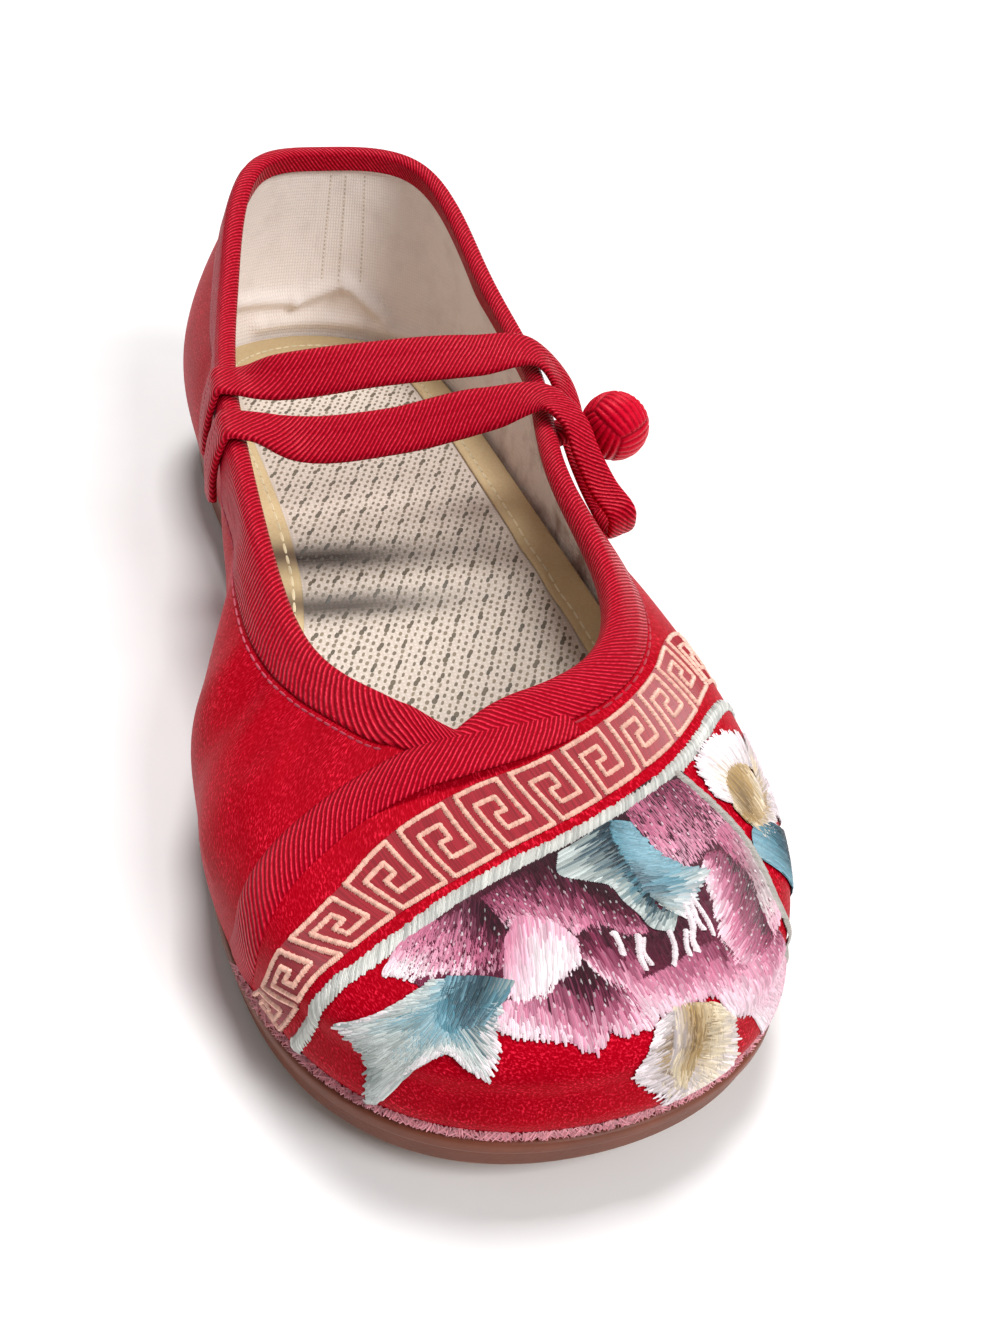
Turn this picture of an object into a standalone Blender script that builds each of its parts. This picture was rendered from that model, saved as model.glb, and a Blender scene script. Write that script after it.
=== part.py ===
"""Satin cloth flat with a doubled button strap over the instep, left foot.

Frame: +Z up, toe towards -Y, outer (lateral) side towards +X, floor at Z = 0.
Sizes here are millimetres and become metres where a mesh is made.
A place on the upper is a turn (0 heel back, 0.25 inner side, 0.5 toe tip,
0.75 outer side) and a height (0 at the sole's feather line, 1 at the collar).
"""
from collections import namedtuple

import bmesh
import bpy
import numpy as np

# Driving sizes of the last
MM = 0.001
LENGTH = 228.0
BALL_WIDTH = 86.5
INSTEP_HEIGHT = 35.5
HEEL_HEIGHT = 63.0

# Sole unit
SOLE_TOE = 7.0
SOLE_HEEL = 13.0
TOE_SPRING = 4.5
SPRING_START = -50.0
SPRING_END = -111.5
WEDGE_START = -40.0
WEDGE_LENGTH = 110.0
ARCH_FRONT = 5.0
ARCH_BACK = 62.0
ARCH_RISE = 3.0
SOLE_TUCK = 2.4
TUCK_HEEL = 0.08
TUCK_TOE = 0.44

# Upper, tapes and insole
GAP = 0.3
WALL = 1.8
MARGIN_WIDTH = 6.0
TAPE = 0.7
BINDING_OUTSIDE = 7.0
BINDING_INSIDE = 3.5
THROAT_TURN = 0.5
THROAT_CUT = 0.030
THROAT_HALF = 0.035
VAMP_TAPE_WIDTH = 6.0
INSOLE_INSET = 2.2
INSOLE_TAPE = 0.6
INSOLE_TAPE_WIDTH = 8.0
INSOLE_TOP = 6.0

# Strap, stem and knot
STRAP_THICK = 1.8
STRAP_WIDTH = 9.5
STRAP_REAR_TURN = 0.222
STRAP_FRONT_TURN = 0.252
STRAP_SEWN_DROPS = (12.0, 7.0, 2.0)
KNOT_CENTRE = (46.0, 27.2, 40.3)
KNOT_RADIUS = 7.0
STEM_TURN = 0.745
STEM_DROP = 4.5
STEM_BEND = 3.0
STEM_BASE_HALF = (3.2, 1.9)
STEM_NECK_HALF = (2.2, 1.9)

STATIONS = 84
WALL_ROWS = 8

# Sections of the last, a row for each: feather line and collar as percent of ball width (across) and of
# length (along), the collar's climb from instep height (0) to heel height (1), then the wall's curve in mm:
# belly and rise leave the feather line, reach and dip lead into the collar.
Section = namedtuple(
    "Section", "name turn sole_across sole_along collar_across collar_along climb belly rise reach dip")
SECTIONS = [
    Section("heel back", 0.000, 0.6, 51.8, 2.3, 52.2, 1.00, 5.0, 20.0, 2.0, 16.0),
    Section("heel medial", 0.065, -28.9, 46.5, -19.1, 48.0, 0.93, 5.0, 20.0, 5.0, 16.0),
    Section("seat medial", 0.130, -36.4, 35.1, -28.3, 35.5, 0.53, 5.0, 18.0, 6.0, 14.0),
    Section("waist medial", 0.220, -33.5, 16.7, -34.7, 18.4, 0.24, 3.0, 16.0, 3.0, 12.0),
    Section("arch medial", 0.290, -35.8, -0.4, -35.3, 2.2, 0.13, 4.0, 15.0, 6.0, 10.0),
    Section("ball medial", 0.365, -50.3, -18.9, -31.2, -13.2, -0.04, 4.5, 15.0, 16.0, 8.0),
    Section("toe medial", 0.435, -39.9, -40.3, -20.8, -20.4, -0.02, 4.0, 16.0, 36.0, 10.0),
    Section("toe tip", 0.500, -4.6, -48.2, -9.2, -22.8, 0.00, 4.0, 17.0, 50.0, 12.0),
    Section("toe lateral", 0.565, 38.2, -40.8, 18.5, -19.5, 0.04, 4.5, 16.0, 36.0, 10.0),
    Section("ball lateral", 0.635, 49.7, -17.5, 32.9, -7.9, 0.04, 5.0, 15.0, 16.0, 8.0),
    Section("arch lateral", 0.710, 46.8, 1.8, 34.1, 6.1, 0.16, 4.0, 15.0, 6.0, 10.0),
    Section("waist lateral", 0.780, 41.6, 17.5, 39.9, 19.7, 0.27, 3.0, 16.0, 3.0, 12.0),
    Section("seat lateral", 0.870, 37.0, 35.1, 35.8, 35.5, 0.60, 4.0, 18.0, 4.0, 14.0),
    Section("heel lateral", 0.935, 28.9, 46.5, 27.7, 48.7, 0.98, 5.0, 20.0, 4.0, 16.0),
]

# The sole's edge from the floor up: mm beyond the feather line, and share of the sole's thickness
SoleEdge = namedtuple("SoleEdge", "name out level")
SOLE_EDGE = [
    SoleEdge("tread edge", -0.8, 0.00),
    SoleEdge("lower bevel", 0.6, 0.16),
    SoleEdge("side wall", 0.8, 0.60),
    SoleEdge("lip underside", 1.5, 0.68),
    SoleEdge("lip top", 1.5, 1.00),
]

# Middle line of the tape that laps the vamp, from the throat to the sole on the inner side,
# with its lift off the upper: it starts on top of the collar binding.
LapPoint = namedtuple("LapPoint", "name turn height lift")
VAMP_LAP = [
    LapPoint("throat", 0.496, 0.938, 1.5),
    LapPoint("past the binding", 0.478, 0.915, 1.2),
    LapPoint("inner vamp", 0.461, 0.855, 0.4),
    LapPoint("over the ball", 0.449, 0.745, 0.3),
    LapPoint("inner side", 0.4365, 0.570, 0.3),
    LapPoint("low side", 0.424, 0.360, 0.3),
    LapPoint("sole edge", 0.409, 0.080, 0.3),
]

# The free run of the strap's tape, from the rear band round the hooked loop to the front band:
# middle point, direction across the tape, and width there.
StrapPoint = namedtuple("StrapPoint", "name x y z across_x across_y across_z width")
STRAP_RUN = [
    StrapPoint("rear band inner", -21.0, 39.5, 45.3, 0.0, 0.80, 0.60, 9.5),
    StrapPoint("rear band middle", 0.0, 42.3, 46.8, 0.0, 0.75, 0.66, 9.5),
    StrapPoint("rear band outer", 20.0, 45.0, 47.2, 0.0, 0.82, 0.57, 9.5),
    StrapPoint("rear over collar", 34.8, 46.6, 46.6, 0.08, 0.97, 0.20, 9.0),
    StrapPoint("rear turned down", 40.2, 44.4, 41.0, 0.50, 0.85, 0.15, 8.0),
    StrapPoint("rear behind stem", 41.2, 37.5, 34.6, 0.92, 0.35, 0.10, 6.5),
    StrapPoint("rear under stem", 41.6, 28.0, 30.6, 0.95, 0.15, 0.20, 6.0),
    StrapPoint("loop low", 42.4, 16.5, 27.6, 0.93, 0.10, 0.30, 5.8),
    StrapPoint("loop end", 42.7, 8.2, 27.6, 0.90, 0.00, 0.40, 5.8),
    StrapPoint("loop front", 42.0, 7.0, 31.8, 0.90, 0.00, 0.40, 5.8),
    StrapPoint("front before stem", 39.4, 12.5, 35.0, 0.92, 0.05, 0.35, 5.8),
    StrapPoint("front beside knot", 37.2, 18.0, 39.2, 0.95, 0.10, 0.25, 5.6),
    StrapPoint("front turned out", 35.7, 24.2, 43.3, 0.85, 0.50, 0.10, 6.2),
    StrapPoint("front over collar", 32.0, 29.6, 45.2, 0.30, 0.93, 0.16, 8.0),
    StrapPoint("front band outer", 20.0, 31.5, 42.2, 0.0, 0.80, 0.60, 9.5),
    StrapPoint("front band middle", 0.0, 28.5, 39.2, 0.0, 0.75, 0.66, 9.5),
    StrapPoint("front band inner", -19.0, 26.0, 39.6, 0.0, 0.82, 0.57, 9.5),
]
STRAP_PER_SPAN = 3
LAP_PER_SPAN = 4
STEM_STATIONS = 7
STEM_SIDES = 14


def closed_spline(nodes, values, turns):
    """Cubic spline that closes on itself after one turn."""
    nodes = np.asarray(nodes, float)
    values = np.asarray(values, float)
    count = len(nodes)
    spans = np.diff(np.append(nodes, nodes[0] + 1.0))
    slopes = np.diff(np.append(values, values[0])) / spans
    matrix = np.zeros((count, count))
    target = np.zeros(count)
    for i in range(count):
        before = (i - 1) % count
        after = (i + 1) % count
        matrix[i, before] += spans[before]
        matrix[i, i] += 2.0 * (spans[before] + spans[i])
        matrix[i, after] += spans[i]
        target[i] = 6.0 * (slopes[i] - slopes[before])
    bend = np.linalg.solve(matrix, target)
    turns = np.asarray(turns, float) % 1.0
    i = np.searchsorted(nodes, turns, side="right") - 1
    j = (i + 1) % count
    x = turns - nodes[i]
    linear = slopes[i] - spans[i] * (2.0 * bend[i] + bend[j]) / 6.0
    return values[i] + x * linear + x**2 * bend[i] / 2.0 + x**3 * (bend[j] - bend[i]) / (6.0 * spans[i])


def open_curve(rows, per_span):
    """Smooth curve through the rows, read at the same number of points between each two rows."""
    rows = np.asarray(rows, float)
    knots = np.append(0.0, np.cumsum(np.linalg.norm(np.diff(rows[:, :3], axis=0), axis=1)))
    slopes = np.gradient(rows, knots, axis=0)
    place = np.linspace(0.0, len(rows) - 1.0, per_span * (len(rows) - 1) + 1)
    i = np.minimum(place.astype(int), len(rows) - 2)
    span = (knots[i + 1] - knots[i])[:, None]
    t = (place - i)[:, None]
    start = (1.0 + 2.0 * t) * (1.0 - t)**2 * rows[i] + t * (1.0 - t)**2 * span * slopes[i]
    end = t * t * (3.0 - 2.0 * t) * rows[i + 1] + t * t * (t - 1.0) * span * slopes[i + 1]
    return start + end


def unit(vectors):
    return vectors / np.linalg.norm(vectors, axis=-1, keepdims=True)


def column(name, turns):
    """One column of the section table, read at any turn."""
    return closed_spline([row.turn for row in SECTIONS], [getattr(row, name) for row in SECTIONS], turns)


def ease(t):
    t = np.clip(t, 0.0, 1.0)
    return t * t * (3.0 - 2.0 * t)


def toe_spring(y):
    """Lift of the toe off the floor, a parabola in front of the ball."""
    return TOE_SPRING * np.clip((SPRING_START - y) / (SPRING_START - SPRING_END), 0.0, None)**2


def floor_height(y):
    """Underside of the sole: toe spring, flat forefoot, low arch, flat heel."""
    through_arch = np.clip((y - ARCH_FRONT) / (ARCH_BACK - ARCH_FRONT), 0.0, 1.0)
    return toe_spring(y) + ARCH_RISE * np.sin(np.pi * through_arch)**2


def bed_height(y):
    """Top of the sole, which thickens from forefoot to heel."""
    wedge = ease((y - WEDGE_START) / WEDGE_LENGTH)
    return toe_spring(y) + SOLE_TOE + (SOLE_HEEL - SOLE_TOE) * wedge


def feather(turns):
    """Line where the upper meets the sole, seen from above."""
    across = column("sole_across", turns) * BALL_WIDTH / 100.0
    along = column("sole_along", turns) * LENGTH / 100.0
    return np.stack([across, along], axis=-1)


def outward(turns):
    """Level direction out of the feather line."""
    step = 1e-4
    run = feather(turns + step) - feather(turns - step)
    return unit(np.stack([run[..., 1], -run[..., 0]], axis=-1))


def feather_ring(turns, out, above_bed):
    """Points beside the feather line: out from it, and above the sole's top."""
    flat = feather(turns) + out * outward(turns)
    return np.concatenate([flat, (bed_height(flat[..., 1]) + above_bed)[..., None]], axis=-1)


def wall(turns, heights):
    """Outer face of the upper: a cubic curve from feather line to collar at each turn."""
    out = outward(turns)
    foot = feather_ring(turns, 0.0, 0.0)
    collar_across = column("collar_across", turns) * BALL_WIDTH / 100.0
    collar_along = column("collar_along", turns) * LENGTH / 100.0
    collar_high = INSTEP_HEIGHT + column("climb", turns) * (HEEL_HEIGHT - INSTEP_HEIGHT)
    collar = np.stack([collar_across, collar_along, collar_high], axis=-1)

    def lean(sideways, upward):
        level = column(sideways, turns)[..., None] * out
        return np.concatenate([level, upward[..., None]], axis=-1)

    low = foot + lean("belly", column("rise", turns))
    high = collar + lean("reach", -column("dip", turns))
    v = np.asarray(heights, float)[..., None]
    return (1 - v)**3 * foot + 3 * (1 - v)**2 * v * low + 3 * (1 - v) * v**2 * high + v**3 * collar


def wall_slopes(turns, heights):
    """Change of the wall point per turn and per height."""
    step = 1e-4
    per_turn = (wall(turns + step, heights) - wall(turns - step, heights)) / (2.0 * step)
    per_height = (wall(turns, heights + step) - wall(turns, heights - step)) / (2.0 * step)
    return per_turn, per_height


def wall_normal(turns, heights):
    return unit(np.cross(*wall_slopes(turns, heights)))


def off_wall(turns, heights, lift):
    """Point off the upper's outer face, outside where lift is positive."""
    return wall(turns, heights) + np.asarray(lift)[..., None] * wall_normal(turns, heights)


def collar_edge(turns):
    """Height of the upper's cut edge: the collar, with a small notch at the throat."""
    near = np.clip(1.0 - np.abs(turns - THROAT_TURN) / THROAT_HALF, 0.0, None)
    return 1.0 - THROAT_CUT * near**2


def height_below_edge(turns, drop):
    """Height of the place that lies a drop in mm below the collar edge along the wall."""
    edge = collar_edge(turns)
    share = np.linspace(0.0, 1.0, 61)
    points = wall(np.repeat(turns[:, None], len(share), axis=1), edge[:, None] * share)
    steps = np.linalg.norm(np.diff(points, axis=1), axis=2)
    heights = np.empty(len(turns))
    for i, row in enumerate(steps):
        depth = np.append(np.cumsum(row[::-1])[::-1], 0.0)
        heights[i] = np.interp(-drop, -depth, edge[i] * share)
    return heights


def rounded_strip(centres, across, normal, widths, thick):
    """Sections of a flat tape with eased edges, from its middle line."""
    shape = [(-1.0, 0.0, -0.25), (-1.0, 0.0, 0.25), (-1.0, 0.5, 0.5), (1.0, -0.5, 0.5),
             (1.0, 0.0, 0.25), (1.0, 0.0, -0.25), (1.0, -0.5, -0.5), (-1.0, 0.5, -0.5)]
    points = []
    for side, inset, level in shape:
        reach = side * widths / 2.0 + inset
        points.append(centres + reach[:, None] * across + level * thick * normal)
    return np.stack(points, axis=1)


def end_faces(ring):
    """Faces that close a ring, as rungs between its two sides."""
    count = len(ring)
    half = count // 2
    faces = [(ring[0], ring[1], ring[count - 1])]
    for i in range(1, half - 1):
        faces.append((ring[i], ring[i + 1], ring[count - i - 1], ring[count - i]))
    faces.append((ring[half - 1], ring[half], ring[half + 1]))
    return faces


def skin(name, sections, colour, roughness, closed):
    """One solid through a row of closed sections, which either meet end to end or are capped."""
    sections = np.asarray(sections)
    rows, points = sections.shape[:2]
    index = np.arange(rows * points).reshape(rows, points)
    faces = []
    for i in range(rows if closed else rows - 1):
        here = index[i]
        there = index[(i + 1) % rows]
        for j in range(points):
            k = (j + 1) % points
            faces.append((here[j], here[k], there[k], there[j]))
    if not closed:
        faces += end_faces(index[0]) + end_faces(index[-1])
    mesh = bpy.data.meshes.new(name)
    mesh.from_pydata((sections.reshape(-1, 3) * MM).tolist(), [], [tuple(map(int, face)) for face in faces])
    shape = bmesh.new()
    shape.from_mesh(mesh)
    bmesh.ops.recalc_face_normals(shape, faces=shape.faces)
    shape.to_mesh(mesh)
    shape.free()
    add_part(name, mesh, colour, roughness)


def add_part(name, mesh, colour, roughness):
    """Put a mesh into the shoe's collection with its own material."""
    mesh.shade_smooth()
    mesh.set_sharp_from_angle(angle=np.radians(40.0))
    material = bpy.data.materials.new(name)
    material.use_nodes = True
    shader = material.node_tree.nodes["Principled BSDF"]
    shader.inputs["Base Color"].default_value = (*colour, 1.0)
    shader.inputs["Roughness"].default_value = roughness
    shader.inputs["Metallic"].default_value = 0.0
    mesh.materials.append(material)
    parts.objects.link(bpy.data.objects.new(name, mesh))


def sole_tuck(turns):
    """How far the sole's edge is drawn in under the upper, on the inner side only."""
    return SOLE_TUCK * ease(turns / TUCK_HEEL) * ease((TUCK_TOE - turns) / TUCK_HEEL)


def make_outsole(turns):
    """Sole unit: edge rings from the tread up to the lip, closed across by rungs."""
    rings = []
    for edge in SOLE_EDGE:
        flat = feather(turns) + (edge.out - sole_tuck(turns))[:, None] * outward(turns)
        under = floor_height(flat[:, 1])
        top = bed_height(flat[:, 1]) - GAP
        rings.append(np.column_stack([flat, under + edge.level * (top - under)]))
    skin("outsole", rings, (0.30, 0.13, 0.055), 0.45, closed=False)


def make_insole(turns):
    """Board that lies on the lasting margin, below its bound edge."""
    inset = -(INSOLE_INSET + INSOLE_TAPE + GAP)
    levels = (WALL + GAP, INSOLE_TOP - INSOLE_TAPE - GAP)
    rings = [feather_ring(turns, inset, level) for level in levels]
    skin("insole", rings, (0.62, 0.53, 0.43), 0.85, closed=False)


def make_insole_tape(turns):
    """Tape down the insole's edge and over its rim."""
    outer = -INSOLE_INSET
    inner = outer - INSOLE_TAPE
    rim = outer - INSOLE_TAPE_WIDTH
    under = INSOLE_TOP - INSOLE_TAPE
    shape = [(outer, WALL + GAP), (outer, under), (outer - 0.4, INSOLE_TOP), (rim, INSOLE_TOP),
             (rim, under), (inner, under), (inner, WALL + GAP)]
    sections = [feather_ring(turns, out, level) for out, level in shape]
    skin("insole_tape", np.stack(sections, axis=1), (0.47, 0.33, 0.16), 0.75, closed=True)


def make_upper(turns):
    """Hollow upper: outer face up, inner face down, then the margin turned in under the insole."""
    drops = (0.0, BINDING_OUTSIDE / 2.0, BINDING_OUTSIDE)
    top_rows = [height_below_edge(turns, drop) for drop in drops]
    rows = [top_rows[-1] * i / WALL_ROWS for i in range(WALL_ROWS)] + top_rows[::-1]
    outer = [wall(turns, row) for row in rows]
    inner = [off_wall(turns, row, np.full(len(turns), -WALL)) for row in rows[1:]]
    tip = -(WALL + MARGIN_WIDTH)
    margin = [feather_ring(turns, -WALL, WALL), feather_ring(turns, tip, WALL), feather_ring(turns, tip, 0.0)]
    skin("upper", np.stack(outer + inner[::-1] + margin, axis=1), (0.50, 0.01, 0.03), 0.42, closed=True)


def make_collar_binding(turns):
    """Tape folded over the collar edge, a leg outside and a leg inside."""
    edge = collar_edge(turns)
    up = unit(wall_slopes(turns, edge)[1])
    near = GAP
    far = GAP + TAPE

    def leg(drop, lift):
        return off_wall(turns, height_below_edge(turns, drop), np.full(len(turns), lift))

    def over(lift, rise):
        return off_wall(turns, edge, np.full(len(turns), lift)) + rise * up

    ease_in = 0.35
    sections = [
        leg(BINDING_OUTSIDE, far), leg(BINDING_OUTSIDE / 2.0, far), over(far, 0.0), over(far - ease_in, far),
        over(-WALL - far + ease_in, far), over(-WALL - far, 0.0), leg(BINDING_INSIDE, -WALL - far),
        leg(BINDING_INSIDE, -WALL - near), over(-WALL - near, near), over(near, near),
        leg(BINDING_OUTSIDE / 2.0, near), leg(BINDING_OUTSIDE, near),
    ]
    skin("collar_binding", np.stack(sections, axis=1), (0.45, 0.008, 0.03), 0.6, closed=True)


def make_vamp_tape():
    """Tape on the upper's own surface, carried along its middle line."""
    rows = [(row.turn, row.height, row.lift) for row in VAMP_LAP]
    scaled = open_curve(np.array(rows) * (LENGTH, VAMP_TAPE_WIDTH, 1.0), LAP_PER_SPAN)
    turns, heights, lifts = (scaled / (LENGTH, VAMP_TAPE_WIDTH, 1.0)).T
    run = unit(np.gradient(wall(turns, heights), axis=0))
    across = unit(np.cross(wall_normal(turns, heights), run))
    slopes = np.stack(wall_slopes(turns, heights), axis=2)
    aside = np.einsum("nij,nj->ni", np.linalg.pinv(slopes), across)
    upper_side = []
    under_side = []
    for share in np.linspace(-0.5, 0.5, 5):
        place = share * VAMP_TAPE_WIDTH * aside
        upper_side.append(off_wall(turns + place[:, 0], heights + place[:, 1], lifts + TAPE))
        under_side.append(off_wall(turns + place[:, 0], heights + place[:, 1], lifts))
    skin("vamp_tape", np.stack(upper_side + under_side[::-1], axis=1), (0.45, 0.008, 0.03), 0.6, closed=False)


def sewn_end(turn):
    """Strap rows on the inner side: flat on the outside of the binding, then over the collar."""
    lift = GAP + TAPE + GAP + STRAP_THICK / 2.0
    at = np.full(len(STRAP_SEWN_DROPS), turn)
    heights = [height_below_edge(np.array([turn]), drop)[0] for drop in STRAP_SEWN_DROPS]
    outside = off_wall(at, np.array(heights), np.full(len(at), lift))
    top = np.array([turn])
    edge = collar_edge(top)
    per_turn, per_height = wall_slopes(top, edge)
    along = -unit(per_turn)
    up = unit(per_height)
    shoulder = off_wall(top, edge, np.full(1, 0.75 * lift)) + 0.75 * lift * up
    crest = off_wall(top, edge, np.full(1, -WALL)) + 1.1 * lift * up
    points = np.concatenate([outside, shoulder, crest])
    return np.column_stack([points, np.repeat(along, len(points), axis=0), np.full(len(points), STRAP_WIDTH)])


def make_button_strap():
    """One tape: sewn end, rear band, loop hooked round the stem, front band, sewn end."""
    free = np.array([row[1:] for row in STRAP_RUN])
    rows = np.concatenate([sewn_end(STRAP_REAR_TURN), free, sewn_end(STRAP_FRONT_TURN)[::-1]])
    path = open_curve(rows, STRAP_PER_SPAN)
    centres = path[:, :3]
    run = unit(np.gradient(centres, axis=0))
    across = path[:, 3:6]
    across = unit(across - (across * run).sum(axis=1, keepdims=True) * run)
    sections = rounded_strip(centres, across, np.cross(run, across), path[:, 6], STRAP_THICK)
    skin("button_strap", sections, (0.45, 0.008, 0.03), 0.6, closed=False)


def make_button_stem():
    """Stitched stem: leaves the binding square to the wall and bends towards the knot."""
    at = np.array([STEM_TURN])
    height = height_below_edge(at, STEM_DROP)
    square = wall_normal(at, height)[0]
    start = off_wall(at, height, np.array([GAP + TAPE + GAP]))[0]
    centre = np.array(KNOT_CENTRE)
    bend = start + STEM_BEND * square
    finish = centre + (KNOT_RADIUS + GAP) * unit(bend - centre)
    t = np.linspace(0.0, 1.0, STEM_STATIONS)[:, None]
    path = (1 - t)**2 * start + 2 * t * (1 - t) * bend + t**2 * finish
    run = unit(2 * (1 - t) * (bend - start) + 2 * t * (finish - bend))
    along_collar = unit(wall_slopes(at, height)[0])[0]
    wide = unit(along_collar - (run @ along_collar)[:, None] * run)
    thin = np.cross(run, wide)
    half = np.array(STEM_BASE_HALF) + t * (np.array(STEM_NECK_HALF) - np.array(STEM_BASE_HALF))
    angles = np.linspace(0.0, 2.0 * np.pi, STEM_SIDES, endpoint=False)
    rings = [path + half[:, :1] * np.cos(a) * wide + half[:, 1:] * np.sin(a) * thin for a in angles]
    skin("button_stem", np.stack(rings, axis=1), (0.47, 0.01, 0.035), 0.6, closed=False)


def make_knot_button():
    """Ball knot at the end of the stem."""
    mesh = bpy.data.meshes.new("knot_button")
    ball = bmesh.new()
    bmesh.ops.create_uvsphere(ball, u_segments=24, v_segments=14, radius=KNOT_RADIUS * MM)
    bmesh.ops.translate(ball, verts=ball.verts, vec=[value * MM for value in KNOT_CENTRE])
    ball.to_mesh(mesh)
    ball.free()
    add_part("knot_button", mesh, (0.55, 0.012, 0.04), 0.55)


for old in list(bpy.data.objects):
    bpy.data.objects.remove(old, do_unlink=True)
parts = bpy.data.collections.new("mary_jane_flat")
bpy.context.scene.collection.children.link(parts)

around = np.arange(STATIONS) / STATIONS
make_outsole(around)
make_upper(around)
make_insole(around)
make_insole_tape(around)
make_collar_binding(around)
make_vamp_tape()
make_button_strap()
make_button_stem()
make_knot_button()
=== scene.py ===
"""Looks of a left satin cloth flat with a doubled button strap and an embroidered toe.

Shapes are worked out in millimetres from the last's own sizes and become metres in build_mesh.
A place on the upper is a turn (0 heel back, 0.25 inner side, 0.5 toe tip, 0.75 outer side)
and a height (0 at the sole's feather line, 1 at the collar), as in the part's source.
"""
from collections import namedtuple

import bmesh
import bpy
import numpy as np
from mathutils import Matrix


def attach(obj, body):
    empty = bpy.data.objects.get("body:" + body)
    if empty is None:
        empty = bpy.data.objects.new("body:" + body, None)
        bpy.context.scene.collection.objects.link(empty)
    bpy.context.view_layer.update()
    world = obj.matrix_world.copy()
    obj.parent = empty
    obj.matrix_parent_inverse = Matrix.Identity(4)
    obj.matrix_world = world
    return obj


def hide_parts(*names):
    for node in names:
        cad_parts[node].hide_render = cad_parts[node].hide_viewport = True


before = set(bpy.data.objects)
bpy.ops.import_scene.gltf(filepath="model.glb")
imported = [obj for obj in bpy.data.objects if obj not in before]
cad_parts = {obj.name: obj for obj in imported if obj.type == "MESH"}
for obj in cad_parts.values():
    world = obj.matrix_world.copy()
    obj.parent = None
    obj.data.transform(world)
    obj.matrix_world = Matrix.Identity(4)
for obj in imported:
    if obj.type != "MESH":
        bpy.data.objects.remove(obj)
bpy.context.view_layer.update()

# Outsole
# One moulded unit of translucent gum rubber with toe spring, a low arch and a thin lip.
# Its edge stands a little proud of the upper that is lasted onto it; small ripples are moulded below.
MM = 0.001
LENGTH = 228.0
BALL_WIDTH = 86.5
INSTEP_HEIGHT = 35.5
HEEL_HEIGHT = 63.0
SOLE_TOE = 7.0
SOLE_HEEL = 13.0
TOE_SPRING = 4.5
SPRING_START = -50.0
SPRING_END = -111.5
WEDGE_START = -40.0
WEDGE_LENGTH = 110.0
ARCH_FRONT = 5.0
ARCH_BACK = 62.0
ARCH_RISE = 3.0
SOLE_TUCK = 2.4
TUCK_HEEL = 0.08
TUCK_TOE = 0.44
GAP = 0.3
SOLE_STATIONS = 420

# Sections of the last: feather line and collar in percent of ball width (across) and length (along), the
# collar's climb from instep to heel height, then the wall's curve in mm at its foot and at its collar.
Section = namedtuple(
    "Section", "name turn sole_across sole_along collar_across collar_along climb belly rise reach dip")
SECTIONS = [
    Section("heel back", 0.000, 0.6, 51.8, 2.3, 52.2, 1.00, 5.0, 20.0, 2.0, 16.0),
    Section("heel medial", 0.065, -28.9, 46.5, -19.1, 48.0, 0.93, 5.0, 20.0, 5.0, 16.0),
    Section("seat medial", 0.130, -36.4, 35.1, -28.3, 35.5, 0.53, 5.0, 18.0, 6.0, 14.0),
    Section("waist medial", 0.220, -33.5, 16.7, -34.7, 18.4, 0.24, 3.0, 16.0, 3.0, 12.0),
    Section("arch medial", 0.290, -35.8, -0.4, -35.3, 2.2, 0.13, 4.0, 15.0, 6.0, 10.0),
    Section("ball medial", 0.365, -50.3, -18.9, -31.2, -13.2, -0.04, 4.5, 15.0, 16.0, 8.0),
    Section("toe medial", 0.435, -39.9, -40.3, -20.8, -20.4, -0.02, 4.0, 16.0, 36.0, 10.0),
    Section("toe tip", 0.500, -4.6, -48.2, -9.2, -22.8, 0.00, 4.0, 17.0, 50.0, 12.0),
    Section("toe lateral", 0.565, 38.2, -40.8, 18.5, -19.5, 0.04, 4.5, 16.0, 36.0, 10.0),
    Section("ball lateral", 0.635, 49.7, -17.5, 32.9, -7.9, 0.04, 5.0, 15.0, 16.0, 8.0),
    Section("arch lateral", 0.710, 46.8, 1.8, 34.1, 6.1, 0.16, 4.0, 15.0, 6.0, 10.0),
    Section("waist lateral", 0.780, 41.6, 17.5, 39.9, 19.7, 0.27, 3.0, 16.0, 3.0, 12.0),
    Section("seat lateral", 0.870, 37.0, 35.1, 35.8, 35.5, 0.60, 4.0, 18.0, 4.0, 14.0),
    Section("heel lateral", 0.935, 28.9, 46.5, 27.7, 48.7, 0.98, 5.0, 20.0, 4.0, 16.0),
]

# The sole's moulded edge from the floor up: mm beyond the feather line, and share of the thickness
SoleEdge = namedtuple("SoleEdge", "name out level")
SOLE_EDGE = [
    SoleEdge("tread edge", -0.8, 0.00),
    SoleEdge("tread round", 0.1, 0.05),
    SoleEdge("lower bevel", 0.6, 0.16),
    SoleEdge("side wall", 0.8, 0.55),
    SoleEdge("under the lip", 0.9, 0.62),
    SoleEdge("lip underside", 1.4, 0.66),
    SoleEdge("lip round", 1.6, 0.74),
    SoleEdge("lip face", 1.6, 0.90),
    SoleEdge("lip corner", 1.3, 0.98),
    SoleEdge("lip top", 0.6, 1.00),
]


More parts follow.
